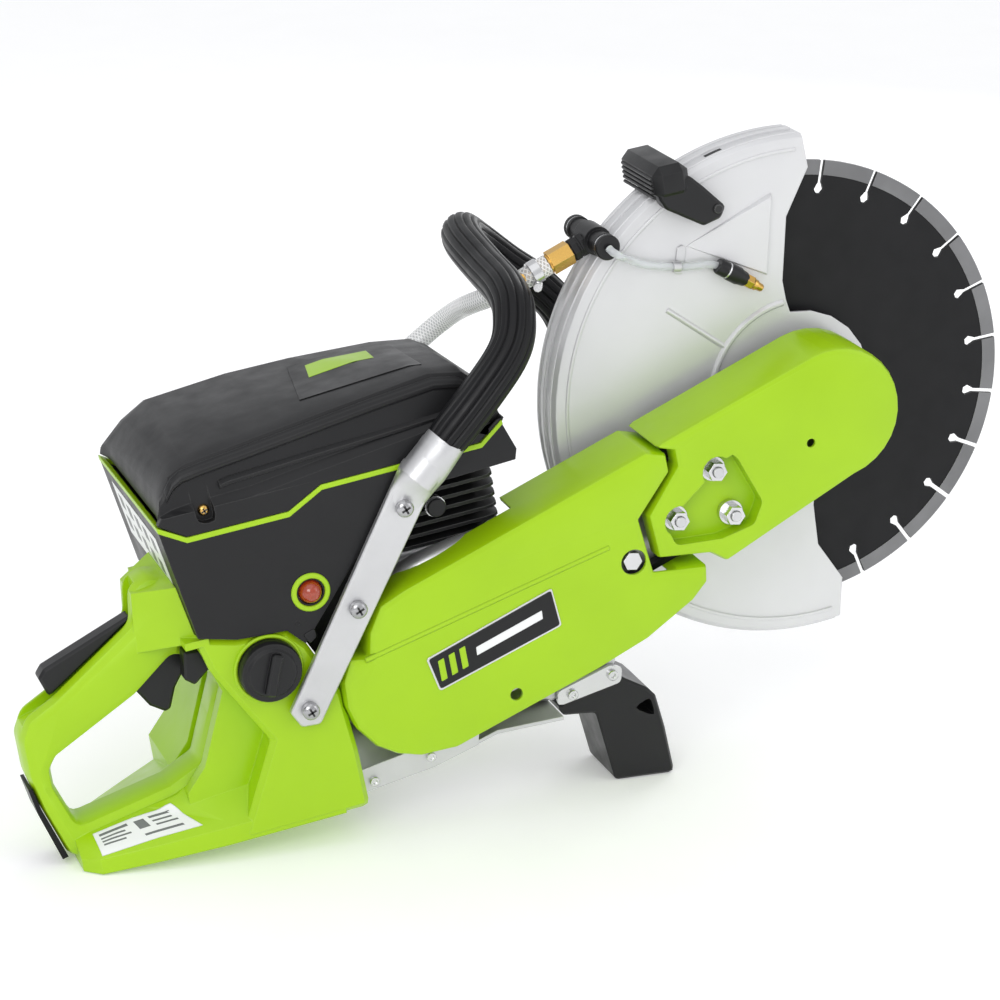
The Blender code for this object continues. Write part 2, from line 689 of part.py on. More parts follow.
FRONT_REAR_EDGE = [(-139, 50.9), (-125, 40), (-128, 28), (-163, 4), (-169, -31), (-131, -49),
                   (-122, -61.5)]
REAR_FRONT_EDGE = [(-145, 50.9), (-131, 41), (-134, 27), (-170, 5), (-176, -38), (-137, -55.5)]
FRONT_COVER = [*arc(0, 0, 52, -96, 90, 16), *FRONT_REAR_EDGE]
REAR_COVER = [
    *REAR_FRONT_EDGE, (-142, -68), (-158, -76), (-202, -85), (-247, -86.5), (-367, -84),
    (-394, -75), (-409, -64), (-420, -50), (-427, -30), (-427, -10), (-421, 10), (-409, 24),
    (-396, 17), (-388, 34), (-372, 49), (-352, 50.9),
]
POCKET = [(-84, 17), (-79, -32), (-92, -45), (-119, -42), (-153, -28), (-154, -9)]


def make_belt_covers():
    passage = box(-190, -106, -72.1, -20, -46, 37)
    front = piece(slab(FRONT_COVER, COVER_Y[0], -20, 3, 5, 2), "front_belt_cover",
                  "green_plastic", arm)
    hollow = prism(inset(FRONT_COVER, COVER_WALL), -72.5, COVER_Y[1] + 10)
    round_end = prism([*arc(0, 0, 49, -90, 90, 14), (-70, 48), (-72, -54)], COVER_Y[0] + 3,
                      COVER_Y[1] + 10)
    pocket = prism(rounded(POCKET, 6, 2), COVER_Y[0] - 5, -76)
    seats = [rod(u, w, 12, -95, -76, 20) for u, w in NUT_PLACES]
    nut_holes = [rod(u, w, 4.6, -95, -60, 12) for u, w in NUT_PLACES]
    beyond = box(-450, 80, COVER_Y[1], 0, -110, 70)
    cut(front, beyond, hollow, round_end, pocket, *seats, *nut_holes,
        rod(-27, -9.6, 3.5, -95, -80, 14), passage)

    rear = piece(slab(REAR_COVER, COVER_Y[0], -20, 3, 5, 2), "rear_belt_cover", "green_plastic",
                 arm)
    hollow = prism(inset(REAR_COVER, COVER_WALL), COVER_Y[0] + 3, COVER_Y[1] + 10)
    beyond = box(-450, 80, COVER_Y[1], 0, -110, 70)
    cut(rear, beyond, hollow, rod(-187.7, -22.3, 10, -95, -80, 24),
        rod(-310, -69, 5, -95, -80, 16), box(-190, -106, -86.9, -20, -46, 37),
        box(-440, -248, -57, -20, -100, 60))


NUT_PLACES = [(-101.5, 8), (-143, -12), (-102.5, -31)]


def make_belt_arm():
    bone = [*arc(0, 0, 34, -75, 85, 12), (-120, 34), (-270, 31), *arc(*CRANK_ARM, 44, 100, 250, 10),
            (-290, -58), (-206, -50), (-130, -38)]
    casting = piece(prism(bone, -57.5, -50.5), "belt_arm", "cast_aluminium", arm)
    boss = rod(0, 0, 27, -57.5, -10.5, 32)
    studs = [rod(u, w, 4, -93, -54, 12) for u, w in NUT_PLACES]
    join(casting, boss, *studs)
    cut(casting, rod(0, 0, 20.4, -60, 0, 28), rod(*CRANK_ARM, 16, -60, -30, 24),
        rod(-187.7, -22.3, 4.3, -60, -30, 12))
    for number, (u, w) in enumerate(NUT_PLACES, 1):
        nut = piece(rod(u, w, 7.6, -90.5, -80, 6), f"cover_nut_{number}", "zinc_steel", arm)
        join(nut, rod(u, w, 9.5, -81, -76.3, 20))
        cut(nut, rod(u, w, 4.4, -95, -70, 12))
    bolt = piece(rod(-187.7, -22.3, 4, -82, -45, 12), "tension_bolt", "zinc_steel", arm)
    join(bolt, rod(-187.7, -22.3, 7.5, -88, -81, 6))


def make_drive():
    u, w = CRANK_ARM
    small, large = DRIVE_PULLEY_R, BLADE_PULLEY_R
    turned(u, w, [(36, -86), (36, -72), (small, BELT_Y[0] - 0.4), (small, BELT_Y[1] + 0.4),
                  (34, -59.3), (34, -58.4), (8.4, -58.4), (8.4, -74.5), (33, -74.5), (33, -86)],
           "drive_pulley", "steel", arm, 32)
    turned(*CRANK, [(31.5, -84.5), (31.5, -76), (8.4, -76), (8.4, -84.5)], "clutch_rotor",
           "steel", steps=24)
    turned(0, 0, [(42, -74), (42, -72.5), (large, BELT_Y[0] - 0.4), (large, BELT_Y[1] + 0.4),
                  (42, -59.3), (42, -58.4), (10.4, -58.4), (10.4, -74)],
           "blade_pulley", "steel", arm, 32)
    length = (u * u + w * w) ** 0.5
    lean = w / length
    big, small = large + GAP + 0.2, small + GAP + 0.2
    tilt = 180 / pi * lean * -1
    sweep = 180 / pi * ((big - small) / length)
    outer = [*arc(0, 0, big + 4.5, -90 + sweep - tilt * -1, 90 - sweep - tilt * -1, 14),
             *arc(u, w, small + 4.5, 90 - sweep - tilt * -1, 270 + sweep - tilt * -1, 14)]
    inner = [*arc(0, 0, big, -90 + sweep - tilt * -1, 90 - sweep - tilt * -1, 14),
             *arc(u, w, small, 90 - sweep - tilt * -1, 270 + sweep - tilt * -1, 14)]
    piece(prism(outer, *BELT_Y, [inner]), "drive_belt", "rubber", arm)

    turned(0, 0, [(0, -83), (9, -83), (10, -82), (10, -8.5), (0, -8.5)], "blade_shaft", "steel",
           arm, 24)
    for name, y0 in (("shaft_bearing_outer", -57), ("shaft_bearing_inner", -24)):
        turned(0, 0, [(20, y0), (20, y0 + 12), (10.4, y0 + 12), (10.4, y0)], name, "steel",
               arm, 28)


# ---------------------------------------------------------------- blade and its clamp

def blade_outline():
    """The disc's edge, with a keyhole slot between each two segments."""
    points = []
    step = 360 / GULLETS
    for i in range(GULLETS):
        middle = GULLET_FIRST - PITCH + step * i
        half = 1.6 / BLADE_R * 180 / pi
        neck = 1.6 / (GULLET_R + 5) * 180 / pi
        points += arc(0, 0, BLADE_R, middle - step + half, middle - half, 4)
        a = radians(middle)
        x, z = GULLET_R * cos(a), GULLET_R * sin(a)
        points += arc(0, 0, GULLET_R + 5, middle - neck, middle - neck, 1)[:1]
        points += arc(x, z, 4, middle - 40, middle - 320, 5)
        points += arc(0, 0, GULLET_R + 5, middle + neck, middle + neck, 1)[:1]
    return points


def make_blade():
    half = BLADE_T / 2
    piece(prism(blade_outline(), -half, half, [circle(0, 0, 10.2, 24)]), "diamond_blade",
          "blade_steel")
    turned(0, 0, [(50, -5.5), (51.5, -4), (51.5, -half - GAP), (10.2, -half - GAP),
                  (10.2, -8.2), (30, -8.2)], "inner_flange", "steel", steps=36)
    turned(0, 0, [(51.5, half + GAP), (51.5, 4), (50, 5.5), (30, 9), (8.2, 9),
                  (8.2, half + GAP)], "outer_flange", "steel", steps=36)
    bolt = piece(rod(0, 0, 7.9, -8.2, 14, 20), "blade_bolt", "zinc_steel")
    join(bolt, rod(0, 0, 17, 9.3, 13, 24), rod(0, 0, 10.5, 12, 21, 6))


# ---------------------------------------------------------------- guard and water kit

def guard_outline(radius, reach=0.0):
    """The guard seen from the side: an arc over the top, rear and bottom, open to the front."""
    start, end = 90 - PITCH - reach / 4, 283 - PITCH + reach / 4
    front_low = [(20 + reach, -164), (3 + reach, -131), (3 + reach, -98)]
    front_high = [(0 + reach, 72), (-1 + reach, 87), (8 + reach, 136), (30 + reach, 170)]
    hub = arc(0, 0, 61, -80, 88, 10) if not reach else []
    return [*arc(0, 0, radius, start, end, 40), *front_low, *hub, *front_high]


def make_guard():
    rows = [(GUARD_Y[0], GUARD_R - 7), (GUARD_Y[0] + 1.5, GUARD_R - 2.5),
            (GUARD_Y[0] + 5, GUARD_R), (GUARD_Y[1] - 5, GUARD_R),
            (GUARD_Y[1] - 1.5, GUARD_R - 2.5), (GUARD_Y[1], GUARD_R - 7)]
    rings = [[(x, y, z) for x, z in guard_outline(radius)] for y, radius in rows]
    guard = piece(loft(rings), "blade_guard", "guard_paint")
    wall = GUARD_WALL
    rows = [(GUARD_Y[0] + wall, GUARD_R - 9), (GUARD_Y[0] + wall + 2, GUARD_R - wall - 1),
            (GUARD_Y[1] - wall - 2, GUARD_R - wall - 1), (GUARD_Y[1] - wall, GUARD_R - 9)]
    rings = [[(x, y, z) for x, z in guard_outline(radius, 90)] for y, radius in rows]
    cut(guard, rod(0, 0, 27.6, -30, 0, 36), rod(0, 0, 54, 10, 40, 40), loft(rings))

    grip = piece(box(-99, -71, -34, 41, 175, 201, 6), "guard_handle", "black_plastic")
    strap = [(-98, 180), (-92, 168), (-64, 149), (-50, 152), (-45, 160), (-60, 178), (-71, 190)]
    join(grip, slab(strap, -31, -14.6, 4, 2))
    cut(grip, rod(0, 0, GUARD_R + GAP + 0.2, -14.3, 80, 64))


def make_water_kit():
    start = Vector((-141.5, 0, 150.5))
    out = Vector((-0.955, 0, -0.297))
    tee = piece(rod(start.x, start.z, 8.5, -32, 38, 18), "water_tee", "black_plastic")
    join(tee, rod_between(start, start + out * 20, 8, 16), rod(start.x, start.z, 11, -10, 13, 18))
    cut(tee, rod(0, 0, GUARD_R + GAP + 0.2, -60, 80, 96))
    fitting = piece(rod_between(start + out * 20.4, start + out * 38, 9.6, 6), "brass_fitting",
                    "brass")
    join(fitting, rod_between(start + out * 34, start + out * 62, 5.6, 14))
    hose_start = start + out * 39.5
    route = [hose_start, (-197, 2, 132), (-208, 12, 124), (-219, 30, 115), (-226, 55, 105),
             (-228, 80, 95), (-234, 98, 85), (-249, 108, 73), (-277, 109, 56), (-312, 109, 33),
             (-345, 109, 10), (-378, 109, -11), (-404, 109, -22)]
    hose = piece(wire(smooth_path(route), 8, 3), "water_hose", "clear_hose")
    cut(hose, rod_between(start + out * 30, start + out * 62.5, 5.95, 14))
    coupling = piece(rod_between((-404.6, 109, -22.5), (-436, 109, -35), 10.5, 16),
                     "hose_coupling", "brass")
    join(coupling, rod_between((-434, 109, -34.2), (-458, 109, -44), 7.5, 14))

    for side, name, wall in ((-1, "near", GUARD_Y[0]), (1, "far", GUARD_Y[1])):
        y = wall + side * 5.2
        tip = -33.8 if side < 0 else 39.8
        path = [(-141.5, tip, 150.5), (-140, tip + side * 4, 148), (-133, tip + side * 3, 142.5),
                (-122, y + side * 4, 134), (-110, y + side, 127), (-88, y, 120), (-72, y, 116.8),
                (-62, y, 116), (-53.2, y, 112.9)]
        piece(wire(smooth_path(path, 2), 3, 2), f"{name}_jet_hose", "clear_hose")
        nozzle = piece(rod_between((-52, y, 112), (-33, y, 97), 4.9, 14),
                       f"{name}_nozzle", "black_plastic")
        join(nozzle, rod_between((-35, y, 98.6), (-17, y, 84.4), 3.2, 10))


# ---------------------------------------------------------------- feet and belly plate

def make_feet():
    side = [(-193, -273), (-144, -280.3), (-147, -240), (-151, -212), (-157, -204), (-173, -192),
            (-181, -185), (-231, -199), (-227, -208), (-201, -213)]
    foot = piece(slab(side, -29.5, 28, 4, 2), "front_foot", "black_plastic")
    window = rounded([(-156, -212), (-153, -230), (-171, -217)], 3, 2)
    cut(foot, prism(window, -40, 40))
    along = Vector((44, 9))
    low = Vector((-226, -192.5))
    strap = [low + Vector((-6, -5)), low + Vector((-4, 7)), low + along + Vector((-4, 8)),
             low + along + Vector((6, 4)), low + along + Vector((3, -8))]
    piece(prism(rounded([tuple(p) for p in strap], 4, 2), -33, -29.8), "foot_strap", "zinc_steel")

    plate = [(-398, -211), (-342, -206), (-306, -198), (-289, -194), (-236, -197.6),
             (-236, -194.6), (-289, -191), (-306, -195), (-342, -203), (-398, -208)]
    belly = piece(prism(plate, -58, 58), "belly_plate", "cast_aluminium")
    flange = [(-398, -210.5), (-342, -205.5), (-306, -197.5), (-302, -180), (-345, -186),
              (-398, -192)]
    join(belly, prism(flange, -60, -57), prism(flange, 55, 58))


make_rear_housing()
make_controls()
make_fuel_cap()
make_air_box()
make_engine()
make_starter()
make_wrap_handle()
make_belt_covers()
make_belt_arm()
make_drive()
make_blade()
make_guard()
make_water_kit()
make_feet()
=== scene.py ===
"""Looks of the rescue saw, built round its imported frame.

Lengths are in millimetres in the saw's own frame, unless a comment says metres. Its origin is the
middle of the blade, +X points forwards, +Y to the saw's left side and +Z up. The badge on the belt
cover uses the belt arm's frame, which is turned further about the same axis.
"""

import json
from math import cos, pi, radians, sin, tau

import bmesh
import bpy
from mathutils import Matrix, Vector
from mathutils.bvhtree import BVHTree

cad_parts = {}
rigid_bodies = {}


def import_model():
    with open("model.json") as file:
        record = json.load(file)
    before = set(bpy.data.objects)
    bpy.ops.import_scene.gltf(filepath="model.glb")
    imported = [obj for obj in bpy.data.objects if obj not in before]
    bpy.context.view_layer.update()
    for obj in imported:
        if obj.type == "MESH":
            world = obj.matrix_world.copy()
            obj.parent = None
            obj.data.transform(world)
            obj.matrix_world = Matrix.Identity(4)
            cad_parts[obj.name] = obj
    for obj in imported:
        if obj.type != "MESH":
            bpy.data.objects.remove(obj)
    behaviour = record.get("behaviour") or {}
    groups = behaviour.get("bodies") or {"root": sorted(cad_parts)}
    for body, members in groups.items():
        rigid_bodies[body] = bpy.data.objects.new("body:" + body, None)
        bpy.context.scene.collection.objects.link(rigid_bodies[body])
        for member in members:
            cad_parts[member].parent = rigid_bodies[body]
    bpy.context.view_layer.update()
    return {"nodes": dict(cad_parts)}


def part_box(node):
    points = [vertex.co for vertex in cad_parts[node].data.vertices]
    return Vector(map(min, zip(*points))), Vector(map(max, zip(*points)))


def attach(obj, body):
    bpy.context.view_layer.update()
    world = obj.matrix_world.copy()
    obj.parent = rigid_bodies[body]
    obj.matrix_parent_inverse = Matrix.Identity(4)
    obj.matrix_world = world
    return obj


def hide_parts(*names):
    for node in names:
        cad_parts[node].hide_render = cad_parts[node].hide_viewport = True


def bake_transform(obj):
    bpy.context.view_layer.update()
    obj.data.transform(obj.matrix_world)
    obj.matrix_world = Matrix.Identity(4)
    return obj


for thing in list(bpy.data.objects):
    bpy.data.objects.remove(thing, do_unlink=True)
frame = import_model()

# ---------------------------------------------------------------- frames of reference

PITCH = 8.5
ARM_PITCH = 16.0
blade_low, blade_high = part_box("diamond_blade")
HUB = (blade_low + blade_high) / 2
MACHINE = (Matrix.Translation(HUB) @ Matrix.Rotation(radians(-PITCH), 4, "Y")
           @ Matrix.Scale(0.001, 4))
ARM = MACHINE @ Matrix.Rotation(radians(-ARM_PITCH), 4, "Y")

X, Y, Z = Vector((1, 0, 0)), Vector((0, 1, 0)), Vector((0, 0, 1))


# ---------------------------------------------------------------- camera, lights and floor (metres)

CAMERA_FROM_HUB = (-1.0580, -2.3726, 0.7600)
CAMERA_TILT = 71.72
CAMERA_TURN = -19.12
LENS = 126.0
SENSOR = 36.0
VIEW_DEPTH = 50.0

AREA_LIGHTS = (
    # name, place, aimed at, size, watts
    ("key", (-1.5, -2.3, 1.5), (0, 0, 0.2), (1.6, 1.2), 25),
    ("fill", (1.9, -1.8, 1.2), (0.1, 0, 0.25), (1.2, 1.6), 7),
    ("rim", (1.6, 1.6, 1.1), (0, 0, 0.25), (0.9, 1.4), 9),
)
SKY_COLOUR = (0.97, 0.98, 1.0)
SKY_STRENGTH = 0.78
OVERHEAD_STRENGTH = 0.35
OVERHEAD_SPREAD = 60
OVERHEAD_TILT = (22, -12)

FLOOR_REACH = 20
FLOOR_DROP = 0.0006


def look_at_saw():
    camera = bpy.data.objects.new("camera", bpy.data.cameras.new("camera"))
    camera.data.lens = LENS
    camera.data.sensor_width = SENSOR
    camera.data.clip_end = VIEW_DEPTH
    camera.location = HUB + Vector(CAMERA_FROM_HUB)
    camera.rotation_euler = (radians(CAMERA_TILT), 0, radians(CAMERA_TURN))
    bpy.context.scene.collection.objects.link(camera)
    bpy.context.scene.camera = camera


def area_light(name, place, target, size, watts):
    lamp = bpy.data.lights.new(name, "AREA")
    lamp.shape = "RECTANGLE"
    lamp.size, lamp.size_y = size
    lamp.energy = watts
    holder = bpy.data.objects.new(name, lamp)
    holder.location = place
    aim = Vector(target) - Vector(place)
    holder.rotation_euler = aim.to_track_quat("-Z", "Y").to_euler()
    bpy.context.scene.collection.objects.link(holder)


def light_studio():
    world = bpy.data.worlds.new("studio")
    bpy.context.scene.world = world
    world.use_nodes = True
    back = world.node_tree.nodes["Background"]
    back.inputs["Color"].default_value = (*SKY_COLOUR, 1)
    back.inputs["Strength"].default_value = SKY_STRENGTH
    for light in AREA_LIGHTS:
        area_light(*light)
    sun = bpy.data.lights.new("overhead", "SUN")
    sun.energy = OVERHEAD_STRENGTH
    sun.angle = radians(OVERHEAD_SPREAD)
    holder = bpy.data.objects.new("overhead", sun)
    holder.rotation_euler = (radians(OVERHEAD_TILT[0]), radians(OVERHEAD_TILT[1]), 0)
    bpy.context.scene.collection.objects.link(holder)
    view = bpy.context.scene.view_settings
    view.view_transform = "Standard"
    view.look = "None"
    view.exposure = 0.0


def make_floor():
    bm = bmesh.new()
    bmesh.ops.create_grid(bm, x_segments=1, y_segments=1, size=FLOOR_REACH)
    mesh = bpy.data.meshes.new("floor")
    bm.to_mesh(mesh)
    bm.free()
    mesh.materials.append(LOOKS["floor"])
    floor = bpy.data.objects.new("floor", mesh)
    floor.location.z = -FLOOR_DROP
    bpy.context.scene.collection.objects.link(floor)


# ---------------------------------------------------------------- materials (metres)

BUMP_STRENGTH = 0.35
NOISE_BAND = (0.3, 0.7)
CLOUD_SCALE = 14.0
GLOSS_SCALE = CLOUD_SCALE * 3.7
THREAD_TURNS = 10.0
THREADS_PER_METRE = 330.0


class Shader:
    """A material's node tree, built a node at a time."""

    def __init__(self, name, colour, roughness, metallic=0.0, **sockets):
        self.material = bpy.data.materials.new(name)
        self.material.use_nodes = True
        self.tree = self.material.node_tree
        self.out = self.tree.nodes["Principled BSDF"]
        self.out.inputs["Base Color"].default_value = (*colour, 1)
        self.out.inputs["Roughness"].default_value = roughness
        self.out.inputs["Metallic"].default_value = metallic
        for socket, value in sockets.items():
            self.out.inputs[socket.replace("_", " ")].default_value = value
        self.name, self.colour, self.roughness = name, colour, roughness
        self.place = self.add("ShaderNodeTexCoord").outputs["Object"]

    def add(self, kind, **settings):
        node = self.tree.nodes.new(kind)
        for setting, value in settings.items():
            if setting.startswith("in_"):
                node.inputs[setting[3:].replace("_", " ")].default_value = value
            else:
                setattr(node, setting, value)
        return node

    def link(self, start, end):
        self.tree.links.new(start, end)

    def noise(self, scale, detail):
        node = self.add("ShaderNodeTexNoise", in_Scale=scale, in_Detail=detail)
        self.link(self.place, node.inputs["Vector"])
        return node.outputs["Fac"]

    def spread(self, value, start, end, low, high):
        node = self.add("ShaderNodeMapRange", in_From_Min=start, in_From_Max=end,
                        in_To_Min=low, in_To_Max=high)
        self.link(value, node.inputs["Value"])
        return node.outputs["Result"]

    def blend(self, factor, first, second):
        node = self.add("ShaderNodeMix", data_type="RGBA")
        self.link(factor, node.inputs[0])
        for socket, colour in ((node.inputs[6], first), (node.inputs[7], second)):
            if isinstance(colour, tuple):
                socket.default_value = (*colour, 1)
            else:
                self.link(colour, socket)
        return node.outputs[2]

    def maths(self, operation, first, second, third=None):
        """A sum on outputs of nodes and plain numbers."""
        node = self.add("ShaderNodeMath", operation=operation)
        for socket, value in zip(node.inputs, (first, second, third)):
            if isinstance(value, (int, float)):
                socket.default_value = value
            elif value is not None:
                self.link(value, socket)
        return node.outputs[0]

    def finish(self, grain, depth, vary, rough_vary, edge):
        """Fine surface grain, soft edges, and slight change of colour and gloss across the piece."""
        colour = self.blend(self.spread(self.noise(CLOUD_SCALE, 4), *NOISE_BAND, 0, 1),
                            tuple(c * (1 - vary) for c in self.colour),
                            tuple(min(1, c * (1 + vary)) for c in self.colour))
        self.link(colour, self.out.inputs["Base Color"])
        gloss = self.spread(self.noise(GLOSS_SCALE, 5), *NOISE_BAND,
                            self.roughness - rough_vary, self.roughness + rough_vary)
        self.link(gloss, self.out.inputs["Roughness"])
        self.rounding = self.add("ShaderNodeBevel", samples=4, in_Radius=edge)
        bump = self.add("ShaderNodeBump", in_Strength=BUMP_STRENGTH, in_Distance=depth)
        self.link(self.noise(grain, 2), bump.inputs["Height"])
        self.link(self.rounding.outputs["Normal"], bump.inputs["Normal"])
        self.link(bump.outputs["Normal"], self.out.inputs["Normal"])
        return colour

    def wear(self, colour, bright, amount):
        """Paler, rubbed edges, found where the rounded normal leaves the true one."""
        true = self.add("ShaderNodeNewGeometry")
        dot = self.add("ShaderNodeVectorMath", operation="DOT_PRODUCT")
        self.link(self.rounding.outputs["Normal"], dot.inputs[0])
        self.link(true.outputs["True Normal"], dot.inputs[1])
        mask = self.spread(dot.outputs["Value"], 0.99, 0.8, 0, amount)
        self.link(self.blend(mask, colour, bright), self.out.inputs["Base Color"])

    def braid(self, between, thread):
        """Diagonal threads both ways round a hose, from its map of turns and length."""
        wrap = self.add("ShaderNodeUVMap", uv_map="wrap")
        split = self.add("ShaderNodeSeparateXYZ")
        self.link(wrap.outputs["UV"], split.inputs["Vector"])
        masks = []
        for way in (1, -1):
            length = self.maths("MULTIPLY", split.outputs["Y"], THREADS_PER_METRE)
            along = self.maths("MULTIPLY_ADD", split.outputs["X"], way * THREAD_TURNS, length)
            wave = self.maths("PINGPONG", along, 0.5)
            masks.append(self.spread(wave, 0.30, 0.42, 0, 1))
        both = self.maths("MAXIMUM", *masks)
        self.link(self.blend(both, between, thread), self.out.inputs["Base Color"])
        self.link(self.spread(both, 0, 1, 0.5, 0.1), self.out.inputs["Transmission Weight"])


def moulded(name, colour, roughness, grain, depth, vary=0.05, rough_vary=0.05, worn=None,
            edge=0.0009, metallic=0.0, **sockets):
    """A finished material: worn is the colour and the strength of its rubbed edges."""
    shader = Shader(name, colour, roughness, metallic, **sockets)
    mixed = shader.finish(grain, depth, vary, rough_vary, edge)
    if worn:
        shader.wear(mixed, *worn)
    return shader


def plastics_and_rubber():
    return [
        moulded("green_plastic", (0.337, 0.570, 0.003), 0.34, grain=900, depth=0.00006,
                vary=0.035, worn=((0.5, 0.8, 0.08), 0.5), edge=0.0014, Coat_Weight=0.08,
                Coat_Roughness=0.2, Specular_IOR_Level=0.4),
        moulded("charcoal_plastic", (0.014, 0.014, 0.015), 0.4, grain=1500, depth=0.00016,
                vary=0.10, rough_vary=0.06, worn=((0.10, 0.10, 0.10), 0.55), edge=0.0012,
                Specular_IOR_Level=0.26),
        moulded("black_plastic", (0.008, 0.008, 0.009), 0.38, grain=1300, depth=0.00012,
                vary=0.10, rough_vary=0.07, worn=((0.05, 0.05, 0.05), 0.5),
                Specular_IOR_Level=0.36),
        moulded("rubber", (0.006, 0.006, 0.007), 0.36, grain=1100, depth=0.00014, vary=0.12,
                rough_vary=0.08, worn=((0.04, 0.04, 0.04), 0.4), edge=0.0006,
                Specular_IOR_Level=0.24),
        moulded("red_rubber", (0.55, 0.06, 0.015), 0.12, grain=700, depth=0.00003, vary=0.25,
                rough_vary=0.04, Transmission_Weight=0.35, Coat_Weight=0.8),
        moulded("clear_tube", (0.86, 0.88, 0.90), 0.12, grain=500, depth=0.00003, vary=0.03,
                rough_vary=0.04, Transmission_Weight=0.6, IOR=1.42),
    ]


def metals():
    return [
        moulded("guard_paint", (0.67, 0.67, 0.68), 0.36, grain=1700, depth=0.00004, vary=0.03,
                worn=((0.85, 0.85, 0.87), 0.6), edge=0.0012, metallic=0.35),
        moulded("cast_aluminium", (0.62, 0.62, 0.63), 0.42, grain=950, depth=0.00022, vary=0.07,
                rough_vary=0.08, worn=((0.85, 0.85, 0.85), 0.6), edge=0.0012, metallic=0.85),
        moulded("black_alloy", (0.018, 0.018, 0.019), 0.45, grain=900, depth=0.0002, vary=0.15,
                rough_vary=0.08, worn=((0.30, 0.30, 0.30), 0.8), edge=0.0007, metallic=0.2),
        moulded("aluminium_tube", (0.60, 0.60, 0.61), 0.33, grain=700, depth=0.00008,
                rough_vary=0.06, metallic=1.0),
        moulded("zinc_steel", (0.66, 0.66, 0.67), 0.22, grain=800, depth=0.00008, vary=0.07,
                rough_vary=0.08, worn=((0.9, 0.9, 0.9), 0.6), edge=0.0005, metallic=1.0),
        moulded("steel", (0.42, 0.42, 0.43), 0.28, grain=800, depth=0.00008, vary=0.08,
                rough_vary=0.08, metallic=1.0),
        moulded("blade_steel", (0.004, 0.004, 0.005), 0.5, grain=1200, depth=0.00010, vary=0.15,
                rough_vary=0.08, edge=0.0004, Specular_IOR_Level=0.3),
        moulded("segment_metal", (0.20, 0.20, 0.205), 0.46, grain=1800, depth=0.00030, vary=0.16,
                rough_vary=0.08, worn=((0.6, 0.6, 0.6), 0.6), edge=0.0004, metallic=0.7),
        moulded("brass", (0.72, 0.44, 0.12), 0.22, grain=600, depth=0.00008, vary=0.10,
                rough_vary=0.08, worn=((0.95, 0.75, 0.35), 0.5), edge=0.0005, metallic=1.0),
    ]


def papers_and_floor():
    return [
        moulded("filter_paper", (0.75, 0.68, 0.50), 0.9, grain=500, depth=0.0003, vary=0.08,
                rough_vary=0.04),
        moulded("label_white", (0.80, 0.81, 0.81), 0.35, grain=900, depth=0.00003, vary=0.02,
                rough_vary=0.04),
        moulded("print_grey", (0.16, 0.17, 0.17), 0.4, grain=900, depth=0.00003,
                rough_vary=0.04),
        moulded("floor", (0.93, 0.93, 0.93), 0.75, grain=300, depth=0.00002, vary=0.01,
                rough_vary=0.03, Emission_Color=(1, 1, 1, 1), Emission_Strength=0.16),
    ]


def braided_hose():
    hose = moulded("clear_hose", (0.80, 0.82, 0.84), 0.22, grain=600, depth=0.00003, vary=0.03,
                   IOR=1.4)
    hose.braid((0.84, 0.85, 0.86), (0.93, 0.93, 0.92))
    return hose


def make_materials():
    """Every look by its name, which for most is also the name of its slot."""
    shaders = [*plastics_and_rubber(), *metals(), *papers_and_floor(), braided_hose()]
    return {shader.name: shader.material for shader in shaders}


# ---------------------------------------------------------------- mesh helpers

WELD = 0.0001
CAST_FROM = 60


def piece(mesh, name, body, look, space=MACHINE, angle=35):
    """A piece from a mesh in millimetres, riding on a body of the frame."""
    mesh.name = name
    mesh.transform(space)
    mesh.materials.clear()
    mesh.materials.append(LOOKS[look])
    mesh.shade_smooth()
    mesh.set_sharp_from_angle(angle=radians(angle))
    made = bpy.data.objects.new(name, mesh)
    bpy.context.scene.collection.objects.link(made)
    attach(made, body)
    return made


def mesh_from(bm):
    bmesh.ops.remove_doubles(bm, verts=bm.verts, dist=WELD)
    bmesh.ops.recalc_face_normals(bm, faces=bm.faces)
    mesh = bpy.data.meshes.new("mesh")
    bm.to_mesh(mesh)
    bm.free()
    return mesh


def bridge(bm, row, following):
    """Faces between two closed rows of vertices."""
    for i in range(len(row)):
        j = (i + 1) % len(row)
        bm.faces.new((row[i], row[j], following[j], following[i]))


def lofted(rings, closed=False):
    """A skin over rings of points, capped at its ends or closed into a loop."""
    bm = bmesh.new()
    rows = [[bm.verts.new(point) for point in ring] for ring in rings]
    for row, following in zip(rows, rows[1:]):
        bridge(bm, row, following)
    if closed:
        bridge(bm, rows[-1], rows[0])
    else:
        bm.faces.new(rows[0])
        bm.faces.new(rows[-1])
    return mesh_from(bm)


def circle(centre, side, up, radius, count):
    """A ring of points round a centre, in the plane of side and up."""
    return [centre + (side * cos(tau * k / count) + up * sin(tau * k / count)) * radius
            for k in range(count)]


def arc(radius, start, end, steps):
    """Points (x, z) along an arc about the blade's axis, its ends in degrees."""
    turn = (end - start) / steps
    return [(radius * cos(radians(start + turn * i)), radius * sin(radians(start + turn * i)))
            for i in range(steps + 1)]


def smooth_path(points, per_span):
    """Points along a Catmull-Rom curve through the given ones."""
    knots = [Vector(p) for p in points]
    knots = [2 * knots[0] - knots[1], *knots, 2 * knots[-1] - knots[-2]]
    path = []
    for a, b, c, d in zip(knots, knots[1:], knots[2:], knots[3:]):
        for k in range(per_span):
            t = k / per_span
            path.append(0.5 * (2 * b + (c - a) * t + (2 * a - 5 * b + 4 * c - d) * t * t
                               + (3 * b - a - 3 * c + d) * t ** 3))
    return [*path, knots[-2]]


def ahead_at(path, i):
    return (path[min(i + 1, len(path) - 1)] - path[max(i - 1, 0)]).normalized()


